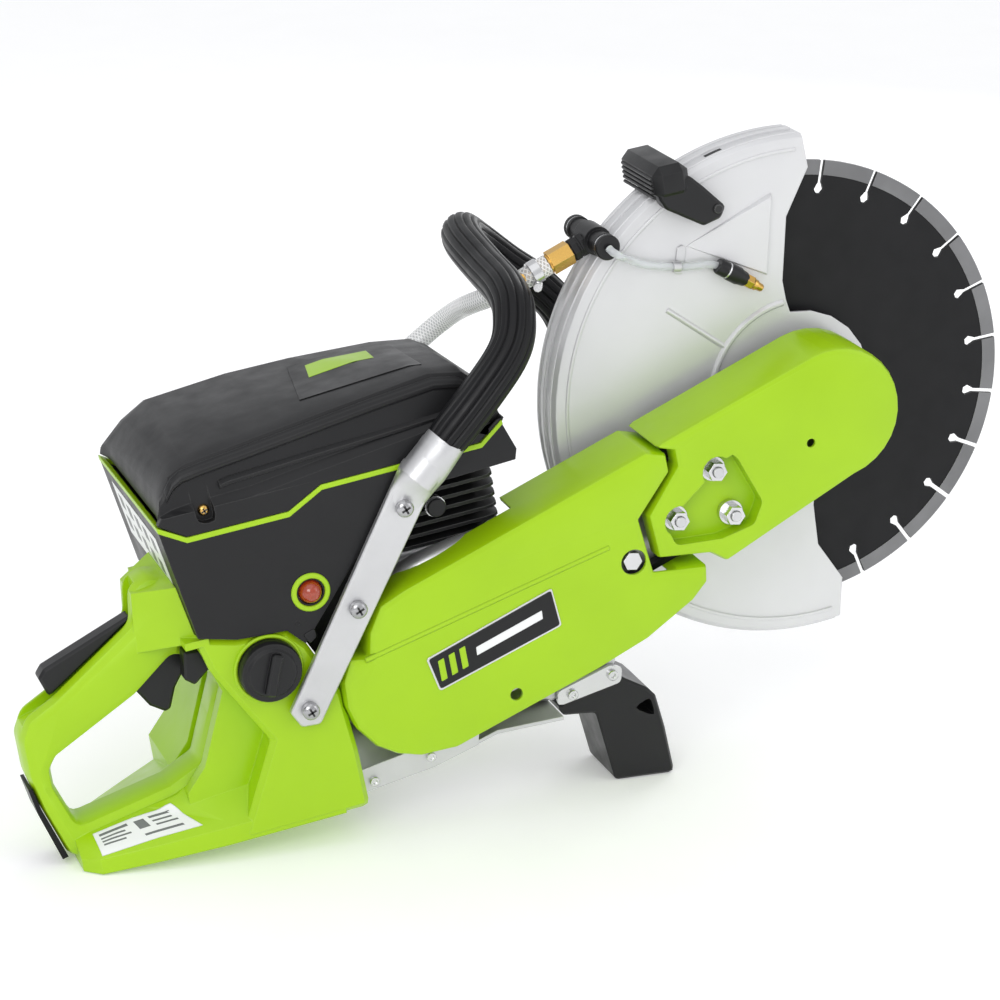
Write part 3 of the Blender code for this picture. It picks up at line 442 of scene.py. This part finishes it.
def frames_along(path):
    """(point, side, up) along a path, turned as little as possible."""
    side, found = Y, []
    for i, point in enumerate(path):
        ahead = ahead_at(path, i)
        side = (side - ahead * side.dot(ahead)).normalized()
        found.append((point, side.copy(), ahead.cross(side)))
    return found


def length_of(path):
    return sum((b - a).length for a, b in zip(path, path[1:]))


def tube(path, radius, sides, bore=None):
    """A tube with a map of turns and metres. Its radius may depend on the angle and the place."""
    places = frames_along(path)
    radius_at = radius if callable(radius) else lambda turn, t: radius
    bm = bmesh.new()
    wrap = bm.loops.layers.uv.new("wrap")
    rows = []
    for n, (point, side, up) in enumerate(places):
        row = []
        for k in range(sides):
            a = tau * k / sides
            r = radius_at(a, n / (len(places) - 1))
            row.append(bm.verts.new(point + (side * cos(a) + up * sin(a)) * r))
        rows.append(row)
    reach = [length_of(path[:n + 1]) / 1000 for n in range(len(path))]
    for n in range(len(rows) - 1):
        for k in range(sides):
            j = (k + 1) % sides
            face = bm.faces.new((rows[n][k], rows[n][j], rows[n + 1][j], rows[n + 1][k]))
            corners = ((k, n), (k + 1, n), (k + 1, n + 1), (k, n + 1))
            for loop, (turn, place) in zip(face.loops, corners):
                loop[wrap].uv = (turn / sides, reach[place])
    if bore is None:
        bm.faces.new(rows[0])
        bm.faces.new(rows[-1])
    else:
        inside = [[bm.verts.new(p) for p in circle(point, side, up, bore, sides)]
                  for point, side, up in places]
        for row, following in ((rows[0], inside[0]), (rows[-1], inside[-1]),
                               *zip(inside, inside[1:])):
            bridge(bm, row, following)
    bmesh.ops.recalc_face_normals(bm, faces=bm.faces)
    mesh = bpy.data.meshes.new("tube")
    bm.to_mesh(mesh)
    bm.free()
    return mesh


def turned(start, along, profile, sides=40):
    """A profile of (distance, radius) turned about a line; few sides make it a nut."""
    along = Vector(along).normalized()
    side = along.orthogonal().normalized()
    up = along.cross(side)
    return lofted([circle(Vector(start) + along * distance, side, up, radius, sides)
                   for distance, radius in profile])


def rounded(outline, radius, steps=4):
    """An outline with its corners cut back by a radius and curved."""
    result = []
    for i, point in enumerate(outline):
        corner = Vector(point)
        before = Vector(outline[i - 1]) - corner
        after = Vector(outline[(i + 1) % len(outline)]) - corner
        reach = min(radius, 0.45 * before.length, 0.45 * after.length)
        start = corner + before.normalized() * reach
        end = corner + after.normalized() * reach
        for k in range(steps + 1):
            t = k / steps
            result.append(start.lerp(corner, t).lerp(corner.lerp(end, t), t))
    return result


def plate(outline, y0, y1, edge=0.3, radius=0.0):
    """A plate along Y: its outline is in X and Z, and its rim on the first face is softened."""
    flat = rounded(outline, radius) if radius else [Vector(p) for p in outline]
    middle = sum(flat, Vector((0, 0))) / len(flat)
    way = 1 if y1 > y0 else -1

    def ring(y, inward):
        pulled = [p - (p - middle).normalized() * inward for p in flat]
        return [Vector((p.x, y, p.y)) for p in pulled]
    return lofted([ring(y0, edge), ring(y0 + way * edge, 0), ring(y1, 0)])


def strip(points, width, y0, y1, edge):
    """A raised rib along a line in X and Z, standing from y1 up to y0, with sloping flanks."""
    path = [Vector((x, 0, z)) for x, z in points]
    half = width / 2
    rings = []
    for i, p in enumerate(path):
        ahead = ahead_at(path, i)
        across = Vector((-ahead.z, 0, ahead.x))
        rings.append([p + across * half + Y * y1, p + across * (half - edge) + Y * y0,
                      p - across * (half - edge) + Y * y0, p - across * half + Y * y1])
    return lofted(rings)


def caster(node):
    """A function that gives where a ray in the saw's frame meets a CAD node."""
    back = MACHINE.inverted()
    data = frame["nodes"][node].data
    tree = BVHTree.FromPolygons([back @ v.co for v in data.vertices],
                                [p.vertices[:] for p in data.polygons])
    return lambda start, way: tree.ray_cast(start, way)[0]


def within(corners, u, v):
    """The point at the shares u and v of a four-cornered patch."""
    a, b, c, d = (Vector(corner) for corner in corners)
    return a.lerp(b, u).lerp(d.lerp(c, u), v)


def patch(corners, u0, u1, v0, v1):
    """The corners of the part of a patch between the given shares."""
    return [within(corners, u, v) for u, v in ((u0, v0), (u1, v0), (u1, v1), (u0, v1))]


def sticker(node, corners, way, lift, thick, grid=(16, 10)):
    """A thin film laid on a surface, between four corners, cast along a direction."""
    meet = caster(node)
    way = Vector(way)
    n, m = grid
    rows = []
    for j in range(m + 1):
        spots = [within(corners, i / n, j / m) for i in range(n + 1)]
        rows.append([meet(p - way * CAST_FROM, way) or p for p in spots])
    bm = bmesh.new()
    top = [[bm.verts.new(p - way * (lift + thick)) for p in row] for row in rows]
    under = [[bm.verts.new(p - way * (lift - 0.1)) for p in row] for row in rows]
    for j in range(m):
        for i in range(n):
            bm.faces.new((top[j][i], top[j][i + 1], top[j + 1][i + 1], top[j + 1][i]))
            bm.faces.new((under[j][i], under[j + 1][i], under[j + 1][i + 1], under[j][i + 1]))
    for rim, foot in ((top[0], under[0]), (top[m], under[m]),
                      ([row[0] for row in top], [row[0] for row in under]),
                      ([row[n] for row in top], [row[n] for row in under])):
        for i in range(len(rim) - 1):
            bm.faces.new((rim[i], rim[i + 1], foot[i + 1], foot[i]))
    return mesh_from(bm)


# ---------------------------------------------------------------- looks of the CAD pieces (metres)

SOFTENED = {"guard_handle": 0.0025}
SHARP_OVER = 32
SOFTENED_OVER = 25
CAD_WELD = 0.00002


def soft_shading():
    """A modifier tree that shades faces smooth and keeps edges over SHARP_OVER degrees sharp."""
    tree = bpy.data.node_groups.new("soft_shading", "GeometryNodeTree")
    tree.interface.new_socket("Geometry", in_out="INPUT", socket_type="NodeSocketGeometry")
    tree.interface.new_socket("Geometry", in_out="OUTPUT", socket_type="NodeSocketGeometry")
    start = tree.nodes.new("NodeGroupInput")
    end = tree.nodes.new("NodeGroupOutput")
    faces = tree.nodes.new("GeometryNodeSetShadeSmooth")
    faces.domain = "FACE"
    edges = tree.nodes.new("GeometryNodeSetShadeSmooth")
    edges.domain = "EDGE"
    angle = tree.nodes.new("GeometryNodeInputMeshEdgeAngle")
    sharp = tree.nodes.new("FunctionNodeCompare")
    sharp.data_type, sharp.operation = "FLOAT", "GREATER_THAN"
    sharp.inputs[1].default_value = radians(SHARP_OVER)
    tree.links.new(start.outputs[0], faces.inputs["Geometry"])
    tree.links.new(faces.outputs[0], edges.inputs["Geometry"])
    tree.links.new(angle.outputs["Unsigned Angle"], sharp.inputs[0])
    tree.links.new(sharp.outputs[0], edges.inputs["Selection"])
    edges.inputs["Shade Smooth"].default_value = False
    tree.links.new(edges.outputs[0], end.inputs[0])
    return tree


def dress_frame():
    """The CAD pieces keep their shapes, and get materials and smooth shading."""
    shading = soft_shading()
    for thing in frame["nodes"].values():
        data = thing.data
        if "custom_normal" in data.attributes:
            data.attributes.remove(data.attributes["custom_normal"])
        for i, old in enumerate(data.materials):
            data.materials[i] = LOOKS[old.name.split(".")[0]]
        weld = thing.modifiers.new("weld", "WELD")
        weld.merge_threshold = CAD_WELD
        if thing.name in SOFTENED:
            soft = thing.modifiers.new("soft", "BEVEL")
            soft.width = SOFTENED[thing.name]
            soft.segments = 3
            soft.limit_method = "ANGLE"
            soft.angle_limit = radians(SOFTENED_OVER)
            soft.use_clamp_overlap = True
        thing.modifiers.new("shade", "NODES").node_group = shading


# ---------------------------------------------------------------- grip, hoses and fittings

HANDLE_TUBE = [
    (-317, -99, 50), (-273, -98, 88), (-246, -92, 113), (-234, -76, 132), (-229, -50, 142),
    (-227, 0, 147), (-225, 50, 153), (-217, 82, 153), (-202, 99, 138), (-180, 105, 114),
    (-158, 106, 92), (-141, 106, 66), (-135, 106, 36), (-138, 106, 0), (-146, 106, -36),
    (-158, 106, -68), (-180, 106, -98),
]
GRIP_RADIUS = 15.7
GRIP_BORE = 11.4
GRIP_RIBS = 14
GROOVE_DEPTH = 1.5
GRIP_TAPER = 1.2

TEE = Vector((-141.5, 0, 150.5))
TEE_OUTLET = Vector((-0.955, 0, -0.297))
HOSE_START = TEE + TEE_OUTLET * 39.5
HOSE_ROUTE = [
    HOSE_START, (-197, 2, 132), (-208, 12, 124), (-219, 30, 115), (-226, 55, 105),
    (-228, 80, 95), (-234, 98, 85), (-249, 108, 73), (-277, 109, 56), (-312, 109, 33),
    (-345, 109, 10), (-378, 109, -11), (-404, 109, -22),
]
HOSE_RADIUS = 8.0
JET_RADIUS = 3.0
JET_SIDES = (
    # name, way out, face of the guard, end of the tee
    ("near", -1, -14.0, -33.8),
    ("far", 1, 26.0, 39.8),
)


def make_grip():
    """The foam grip on the front handle, with ribs along it all round."""
    path = smooth_path(HANDLE_TUBE, 9)[2:-18]

    def radius(turn, t):
        groove = max(0.0, cos(turn * GRIP_RIBS)) ** 3
        inset = 1 - min(1.0, min(t, 1 - t) * 60)
        return GRIP_RADIUS - GROOVE_DEPTH * groove - GRIP_TAPER * inset ** 2
    mesh = tube(path, radius, 8 * GRIP_RIBS, GRIP_BORE)
    grip = piece(mesh, "ribbed_grip", "saw", "rubber", angle=60)
    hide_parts("wrap_grip")


def make_supply_hose():
    path = smooth_path(HOSE_ROUTE, 6)
    hose = piece(tube(path, HOSE_RADIUS, 28), "braided_hose", "saw", "clear_hose")
    hose.parent = None
    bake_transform(hose)
    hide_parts("water_hose")


def make_jet(name, way, wall, tee_end):
    """A jet hose from the tee to its nozzle, down one side of the guard, and its clip."""
    y = wall + way * 5.2
    run = [(-141.5, tee_end, 150.5), (-140, tee_end + way * 4, 148),
           (-133, tee_end + way * 3, 142.5), (-122, y + way * 4, 134), (-110, y + way, 127),
           (-88, y, 120), (-72, y, 116.8), (-62, y, 116), (-53.2, y, 112.9)]
    path = smooth_path(run, 4)
    mesh = tube(path, JET_RADIUS, 18)
    jet = piece(mesh, f"{name}_clear_tube", "guard", "clear_tube")
    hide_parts(f"{name}_jet_hose")
    make_nozzle(name, y + way * 2.2)
    foot = wall + way * 0.2
    tab = [(-87, 113), (-81, 111.5), (-75, 130), (-77, 134), (-82, 133)]
    piece(plate(tab, foot + way * 1.6, foot, 0.4, 2), f"{name}_clip_tab", "guard",
          "cast_aluminium")
    loop = turned((-89, y, 120.4), (6, 0, -1.4), [(0, 3.3), (0, 4.1), (6, 4.1), (6, 3.3)], 24)
    piece(loop, f"{name}_clip_band", "guard", "cast_aluminium")


def make_nozzle(name, y):
    start, aim = (-54, y, 113.6), (37, 0, -29.2)
    sleeve = [(0, 4.2), (0, 5.6), (1.2, 6.3), (8, 6.3), (8.4, 5.6), (9.6, 5.6), (10, 6.9),
              (19, 6.9), (20.5, 6.2), (25, 5.6), (27, 4.6), (27, 3.0)]
    holder = piece(turned(start, aim, sleeve), f"{name}_nozzle_sleeve", "guard", "black_plastic")
    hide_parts(f"{name}_nozzle")
    ring = [(8.3, 5.5), (8.3, 6.5), (9.7, 6.5), (9.7, 5.5)]
    piece(turned(start, aim, ring), f"{name}_nozzle_ring", "guard", "zinc_steel")
    nut = [(26, 3), (26, 5.4), (32, 5.4), (33, 4.8), (33, 3)]
    piece(turned(start, aim, nut, 6), f"{name}_nozzle_hex", "guard", "brass", angle=20)
    tip = [(32.8, 2), (32.8, 4.2), (36, 4.2), (36.5, 3.4), (41, 3.1), (42, 2.4), (42, 0.8)]
    piece(turned(start, aim, tip), f"{name}_nozzle_tip", "guard", "brass")


def make_tee_details():
    collar = [(-0.4, 4), (-0.4, 8.6), (0.6, 9.6), (3.4, 9.6), (4.2, 8.7), (6, 8.7), (6.4, 9.6),
              (8.4, 9.6), (9, 8.6), (9, 7)]
    ring = [(4.2, 8), (4.2, 9.2), (5.8, 9.2), (5.8, 8)]
    for name, y, inwards in (("near", -32, Y), ("far", 38, -Y)):
        start = TEE + Y * y
        piece(turned(start, inwards, collar, 28), f"{name}_tee_collar", "guard", "black_plastic")
        piece(turned(start, inwards, ring, 28), f"{name}_tee_ring", "guard", "zinc_steel")
    nut = [(8, 6), (8, 9.4), (12, 9.4), (12.6, 8.4), (14, 8.4), (14.6, 9.4), (19, 9.4),
           (19.6, 8.4), (19.6, 6)]
    piece(turned(TEE, TEE_OUTLET, nut, 8), "tee_nut", "guard", "black_plastic", angle=20)
    clamp = [(47, 8.05), (47, 9.0), (47.4, 9.3), (54.6, 9.3), (55, 9.0), (55, 8.05)]
    piece(turned(TEE, TEE_OUTLET, clamp, 36), "hose_clamp_band", "guard", "zinc_steel")
    worm = [(0, 1), (0, 3.4), (2.5, 3.4), (3, 2.6), (4, 2.6), (4.3, 3.5), (11, 3.5), (11, 1)]
    worm_start = TEE + TEE_OUTLET * 51 + Vector((-3.4, -12.5, -8.5))
    piece(turned(worm_start, (4.4, 12, 0), worm, 8), "hose_clamp_screw", "guard", "zinc_steel",
          angle=20)
    shoulder = [(37.5, 4), (37.5, 7.4), (39.4, 7.4), (40.2, 6.4), (40.2, 4)]
    piece(turned(TEE, TEE_OUTLET, shoulder, 30), "barb_shoulder", "guard", "brass")


# ---------------------------------------------------------------- blade and guard

SEGMENTS = 24
SEGMENT_TURN = 360 / SEGMENTS
SEGMENT_START = -0.9
HALF_GAP = 0.58
CORE_RADIUS = 164.0
BLADE_RADIUS = 175.25
HALF_SEGMENT = 1.95
SEGMENT_EDGE = 0.5

GUARD_RIM = 197.4
GUARD_FACE = -13.8
GUARD_START = 90 - PITCH + 1
GUARD_END = 283 - PITCH - 1
RIM_LIPS = (
    # name, from and to along Y, height
    ("near_lip", -8.6, -5.4, 1.6),
    ("middle_seam", 3.2, 8.4, 2.6),
    ("far_lip", 17.0, 20.5, 1.6),
)


def swept(section, start, end, steps):
    """Rings of a section of (radius, y) carried round the blade's axis between two angles."""
    return [[(x * r, y, z * r) for r, y in section] for x, z in arc(1, start, end, steps)]


def make_segments():
    """Sintered segments round the disc, a little thicker than its core."""
    section = [(CORE_RADIUS, -HALF_SEGMENT), (BLADE_RADIUS - SEGMENT_EDGE, -HALF_SEGMENT),
               (BLADE_RADIUS, -HALF_SEGMENT + SEGMENT_EDGE),
               (BLADE_RADIUS, HALF_SEGMENT - SEGMENT_EDGE),
               (BLADE_RADIUS - SEGMENT_EDGE, HALF_SEGMENT), (CORE_RADIUS, HALF_SEGMENT)]
    bm = bmesh.new()
    for i in range(SEGMENTS):
        start = SEGMENT_START + SEGMENT_TURN * i
        rings = swept(section, start + HALF_GAP, start + SEGMENT_TURN - HALF_GAP, 8)
        rows = [[bm.verts.new(p) for p in ring] for ring in rings]
        for row, following in zip(rows, rows[1:]):
            bridge(bm, row, following)
        bm.faces.new(rows[0])
        bm.faces.new(rows[-1])
    piece(mesh_from(bm), "diamond_segments", "blade", "segment_metal")


def band(radius, height, y0, y1, start, end, steps=90):
    """A raised band round the guard, with its two outer edges cut."""
    soft, top = 0.5, radius + height
    section = [(radius, y0), (top - soft, y0), (top, y0 + soft), (top, y1 - soft),
               (top - soft, y1), (radius, y1)]
    return lofted(swept(section, start, end, steps))


def make_guard_rim():
    for name, y0, y1, height in RIM_LIPS:
        piece(band(GUARD_RIM, height, y0, y1, GUARD_START, GUARD_END), f"guard_{name}", "guard",
              "guard_paint")
    step = band(186.0, 2.4, GUARD_FACE - 1.2, GUARD_FACE + 0.2, GUARD_START + 1, GUARD_END - 1)
    piece(step, "guard_face_step", "guard", "guard_paint")
    piece(band(197.2, 1.0, -3.4, 1.6, 99.5, 103.5, 6), "guard_slot", "guard", "black_plastic")


def make_guard_ribs():
    straight = [(-96, 86.3), (-85, 76), (-70, 61.8), (-52, 44.8)]
    piece(strip(straight, 5.0, GUARD_FACE - 1.6, GUARD_FACE, 2.0), "guard_rib", "guard",
          "guard_paint")
    piece(strip(arc(70, 92, 205, 36), 6.0, GUARD_FACE - 2.6, GUARD_FACE, 1.9), "guard_hub_ring",
          "guard", "guard_paint")


def make_guard_gusset():
    """A pressed triangle that rises out of the guard's face towards the front."""
    foot = [(-75, GUARD_FACE, 131.9), (-2, GUARD_FACE, 157.2), (-13, GUARD_FACE, 94.2)]
    face = [(-74, GUARD_FACE - 0.4, 131.7), (-3.5, GUARD_FACE - 4.4, 155.0),
            (-14.5, GUARD_FACE - 4.4, 97.0)]
    piece(lofted([foot, face]), "guard_gusset", "guard", "guard_paint", angle=15)


def make_handle_details():
    """Ribs on the guard's handle, and the screw of its lever."""
    rib = [(0, 0.3), (0.6, 1.3), (61.4, 1.3), (62, 0.3)]
    for i in range(5):
        place = (-99.2, -28, 178.0 + 3.6 * i)
        piece(turned(place, Y, rib, 12), f"handle_rib_{i + 1}", "guard", "black_plastic")
    head = [(-1, 1), (-1, 3), (-0.4, 3.6), (0.7, 3.6), (0.7, 1)]
    piece(turned((-52, -31.6, 160), Y, head, 20), "handle_screw", "guard", "black_alloy")


# ---------------------------------------------------------------- screws and rings

def ring_on_side(name, x, z, inner, outer, y_face, rise):
    """A green ring round a button or a cap on the near side."""
    profile = [(-1, inner), (rise - 0.6, inner), (rise, inner + 0.6), (rise, outer - 0.9),
               (rise - 0.9, outer), (-1, outer)]
    rings = [circle(Vector((x, y_face - d, z)), X, Z, r, 48) for d, r in profile]
    piece(lofted(rings, closed=True), name, "saw", "green_plastic")


def socket_screw(name, x, y, z, radius, look="zinc_steel", depth=3.0):
    """A round head with a sunk hexagon, facing the near side."""
    count = 48
    socket = radius * 0.52
    floor = depth - radius * 0.4

    def hexagon(a, reach):
        return reach * cos(pi / 6) / cos((a + pi / 6) % (pi / 3) - pi / 6)
    rings = []
    for d, r, six_sided in ((-1.5, radius, False), (depth - 0.6, radius, False),
                            (depth, radius - 0.6, False), (depth, socket, True),
                            (floor, radius * 0.5, True)):
        ring = []
        for k in range(count):
            a = tau * k / count
            reach = hexagon(a, r) if six_sided else r
            ring.append((x + reach * cos(a), y - d, z + reach * sin(a)))
        rings.append(ring)
    piece(lofted(rings), name, "saw", look, angle=25)


def cross_screw(name, x, y, z, radius, look):
    """A domed head with a cross on it, facing the near side."""
    start = Vector((x, y, z))
    dome = [(-2, radius), (0.6, radius), (1.8, radius * 0.86), (2.6, radius * 0.6),
            (2.9, radius * 0.3), (3.0, 0.05)]
    piece(turned(start, -Y, dome, 32), name, "saw", look)
    for n, turn in enumerate((20, 110), 1):
        a = radians(turn)
        along = Vector((cos(a), 0, sin(a))) * radius * 0.55
        across = Vector((-sin(a), 0, cos(a))) * radius * 0.13
        rings = [[start + p + Y * y for p in (along + across, along - across, -along - across,
                                              -along + across)] for y in (-3.15, -2.0)]
        piece(lofted(rings), f"{name}_slot_{n}", "saw", "black_alloy")


# ---------------------------------------------------------------- covers and labels

BADGE_BACK = -89.8
AIRBOX_FACE = -85.6
LABEL_LIFT = 0.15
PRINT_LIFT, PRINT_THICK = 0.32, 0.06


def make_cover_edges():
    """The rolled lip round the top cover and the ledge under it, along the near side."""
    lip = [[(x, -76, z + 1.0), (x, -79.6, z - 0.4), (x, -81.4, z - 3.0), (x, -81.2, z - 5.4),
            (x, -78.5, z - 8.4), (x, -75, z - 8)]
           for x, z in ((-509, 66), (-503, 74), (-496, 78), (-480, 80.5), (-449, 84), (-399, 90),
                        (-350, 96), (-303, 100.5), (-285, 97), (-274, 90))]
    piece(lofted(lip), "cover_lip", "saw", "charcoal_plastic", angle=50)
    ledge = [[(x, -79, z + 3.0), (x, -82.6, z + 0.2), (x, -82.2, z - 2.2), (x, -79, z - 3.6)]
             for x, z in ((-470, 63), (-462, 64.4), (-400, 68), (-330, 71.4), (-290, 73.5),
                          (-284, 72))]
    piece(lofted(ledge), "cover_ledge", "saw", "charcoal_plastic", angle=50)


def make_cover_panel():
    """The plain panel on top of the cover, its green mark, and the cover's screw."""
    panel = [(-392, -38, 90), (-377, 50, 90), (-296, 50, 90), (-301, -50, 90)]
    piece(sticker("top_cover", panel, -Z, 0.3, 0.5), "cover_panel", "saw", "black_plastic")
    mark = [(-372, 6, 90), (-366, 38, 90), (-318, 38, 90), (-321, 6, 90)]
    piece(sticker("top_cover", mark, -Z, 0.8, 0.2), "cover_panel_mark", "saw", "green_plastic")
    cross_screw("cover_screw", -484, -79.5, 47, 4.2, "brass")


def make_base_label():
    label = [(-603, -51.5, -208), (-543, -54.5, -208), (-526, -76, -208), (-602, -71.5, -208)]
    piece(sticker("rear_housing", label, -Z, LABEL_LIFT, 0.15), "base_label", "saw",
          "label_white")
    bars = ((0.06, 0.40, 0.14, 0.24), (0.06, 0.34, 0.34, 0.40), (0.06, 0.38, 0.48, 0.54),
            (0.06, 0.30, 0.62, 0.68), (0.48, 0.60, 0.16, 0.50), (0.66, 0.92, 0.14, 0.22),
            (0.66, 0.88, 0.32, 0.38), (0.66, 0.90, 0.48, 0.54), (0.48, 0.88, 0.72, 0.80))
    for n, shares in enumerate(bars, 1):
        mesh = sticker("rear_housing", patch(label, *shares), -Z, PRINT_LIFT, PRINT_THICK, (6, 2))
        piece(mesh, f"base_label_bar_{n}", "saw", "print_grey")


def make_bracket_screws_and_shade_sheet():
    for n, (x, z) in enumerate(((-343, 17), (-389, -50), (-436.5, -117.5)), 1):
        cross_screw(f"bracket_cross_{n}", x, -99.0, z, 6.4, "steel")
    # A dark sheet that closes the see-through gap behind the bracket: its charcoal is painted shade
    # for the deep gap, and it also stands in for the engine parts hidden there.
    dark_filler = [(-428, -66), (-352, 22), (-350, -38), (-354, -44), (-354, -135), (-399, -160),
              (-404, -118), (-424, -76)]
    piece(plate(dark_filler, -30, -27), "gap_shade_sheet", "saw", "charcoal_plastic")


def make_rear_label():
    label = [(-560, 72, 31), (-560, -60, 27), (-560, -62, -16), (-560, 70, -12)]
    piece(sticker("airbox_housing", label, X, LABEL_LIFT, 0.15), "rear_label", "saw",
          "label_white")
    for row in range(2):
        for column in range(5):
            u, v = 0.08 + 0.18 * column, 0.16 + 0.40 * row
            corners = patch(label, u, u + 0.09, v, v + 0.24)
            mesh = sticker("airbox_housing", corners, X, PRINT_LIFT, PRINT_THICK, (3, 3))
            piece(mesh, f"rear_label_tile_{row}{column}", "saw", "print_grey")


def make_airbox_details():
    ring_on_side("primer_ring", -419, -32, 10.6, 14.6, -86, 1.6)
    ring_on_side("cap_collar", -459, -82, 23.6, 26.2, -84, 2.0)
    socket_screw("airbox_pin", -432, -85.5, -52.6, 2.6, "black_plastic", 0.8)
    latch = [(-430, -63), (-421, -60), (-420, -67), (-426, -71)]
    piece(plate(latch, AIRBOX_FACE - 1.2, AIRBOX_FACE, 0.4, 2), "airbox_latch", "saw",
          "black_plastic")


def make_badge():
    """The framed badge on the rear belt cover, with plain bars, and the crease above it."""
    def flat(name, outline, rise, sink, look, edge, radius):
        mesh = plate(outline, BADGE_BACK - rise, BADGE_BACK - sink, edge, radius)
        piece(mesh, name, "saw", look, space=ARM)
    flat("cover_badge", [(-359, -6), (-252, -6.5), (-257, -37.5), (-360.5, -34.5)], 1.1, 0,
         "zinc_steel", 0.3, 2.5)
    flat("cover_badge_face", [(-357.6, -7.4), (-253.4, -7.9), (-258.2, -36.1), (-359.1, -33.1)],
         1.4, 0.2, "charcoal_plastic", 0.2, 2)
    for n in range(3):
        x = -352 + 9 * n
        flat(f"cover_badge_bar_{n + 1}", [(x, -12), (x + 5, -12), (x + 1, -28), (x - 4, -28)],
             1.7, 1.2, "green_plastic", 0.1, 0.6)
    crease = strip([(-399, 17), (-340, 11.5), (-274, 5.5), (-200, -1.5)], 4.5,
                   BADGE_BACK - 1.2, BADGE_BACK - 0.1, 2.0)
    piece(crease, "cover_crease", "saw", "green_plastic", space=ARM)
    flat("cover_badge_line", [(-322, -17.6), (-266, -18.2), (-268, -24.6), (-324, -23.8)],
         1.7, 1.2, "label_white", 0.1, 0.6)


# ---------------------------------------------------------------- engine, bracket, starter and foot

STARTER_FACE = 112.6


def make_engine_details():
    duct = smooth_path([(-352, -48, -55), (-334, -54, -48), (-312, -57, -43), (-288, -55, -38),
                        (-266, -46, -34)], 6)

    def swelling(turn, t):
        return 5.0 + 5.5 * sin(pi * min(1, t * 1.15)) ** 0.7
    piece(tube(duct, swelling, 28), "intake_duct", "saw", "cast_aluminium")
    for n, drop in enumerate((9, 16, 23), 1):
        rib = smooth_path([(-350, -47, -56 - drop), (-322, -53, -50 - drop),
                           (-292, -54, -44 - drop), (-264, -47, -40 - drop)], 5)
        piece(tube(rib, 2.6, 14), f"crankcase_rib_{n}", "saw", "cast_aluminium")
    button = [(-0.5, 5), (-0.5, 6.6), (0.5, 7.2), (3.2, 7.2), (4, 6.4), (4, 0.2)]
    piece(turned((-309, -56, -4), -Y, button, 32), "valve_button", "valve", "black_plastic")


def make_bracket_neck():
    """The right bracket widens from a flat bar to the round socket that holds the tube."""
    along = Vector((128, 0, 185)).normalized()
    across = Vector((-along.z, 0, along.x))
    sections = (
        # centre, half width, half thickness
        ((-350, -91.8, 7), 13.6, 3.2), ((-344, -91.9, 15.5), 14.2, 3.3),
        ((-338, -92.6, 24), 14.9, 4.6), ((-332, -95.4, 32), 15.5, 9.2),
        ((-325, -98.2, 40), 15.9, 13.6), ((-317, -99.2, 49), 15.9, 15.6),
        ((-309, -98.9, 57), 15.8, 15.7), ((-305.5, -98.7, 60), 15.1, 15.1),
    )
    rings = [circle(Vector(centre), across * wide, Y * deep, 1, 36)
             for centre, wide, deep in sections]
    piece(lofted(rings), "bracket_neck", "saw", "cast_aluminium", angle=50)


def make_starter_details():
    head = [(0, 2), (0, 5.6), (1.6, 5.6), (2.2, 5.0), (2.2, 2.8), (0.8, 2.4), (0.8, 0.2)]
    for n, (x, z) in enumerate(((-364, -92), (-345, -166), (-268, -162), (-264, -78)), 1):
        piece(turned((x, STARTER_FACE, z), Y, head, 28), f"starter_screw_{n}", "saw",
              "zinc_steel")
    rim = [(-1, 45), (0.8, 45), (1.6, 46), (1.6, 49), (0.8, 50), (-1, 50)]
    centre = Vector((-300, STARTER_FACE + 0.6, -117))
    rings = [circle(centre + Y * d, X * 0.98, Z, r, 72) for d, r in rim]
    piece(lofted(rings, closed=True), "starter_rim", "saw", "green_plastic")


def make_foot_details():
    socket_screw("strap_screw_1", -219, -32.9, -190.5, 4.2)
    socket_screw("strap_screw_2", -185, -32.9, -183.5, 4.2)
    socket_screw("belly_screw_1", -390, -60, -203, 3.8)
    socket_screw("belly_screw_2", -344, -60, -196, 3.8)


# ---------------------------------------------------------------- the whole scene

LOOKS = make_materials()
look_at_saw()
light_studio()
dress_frame()
make_grip()
make_supply_hose()
for side in JET_SIDES:
    make_jet(*side)
make_tee_details()
make_segments()
make_guard_rim()
make_guard_ribs()
make_guard_gusset()
make_handle_details()
make_cover_edges()
make_cover_panel()
make_base_label()
make_bracket_screws_and_shade_sheet()
make_rear_label()
make_airbox_details()
make_badge()
make_engine_details()
make_bracket_neck()
make_starter_details()
make_foot_details()
make_floor()
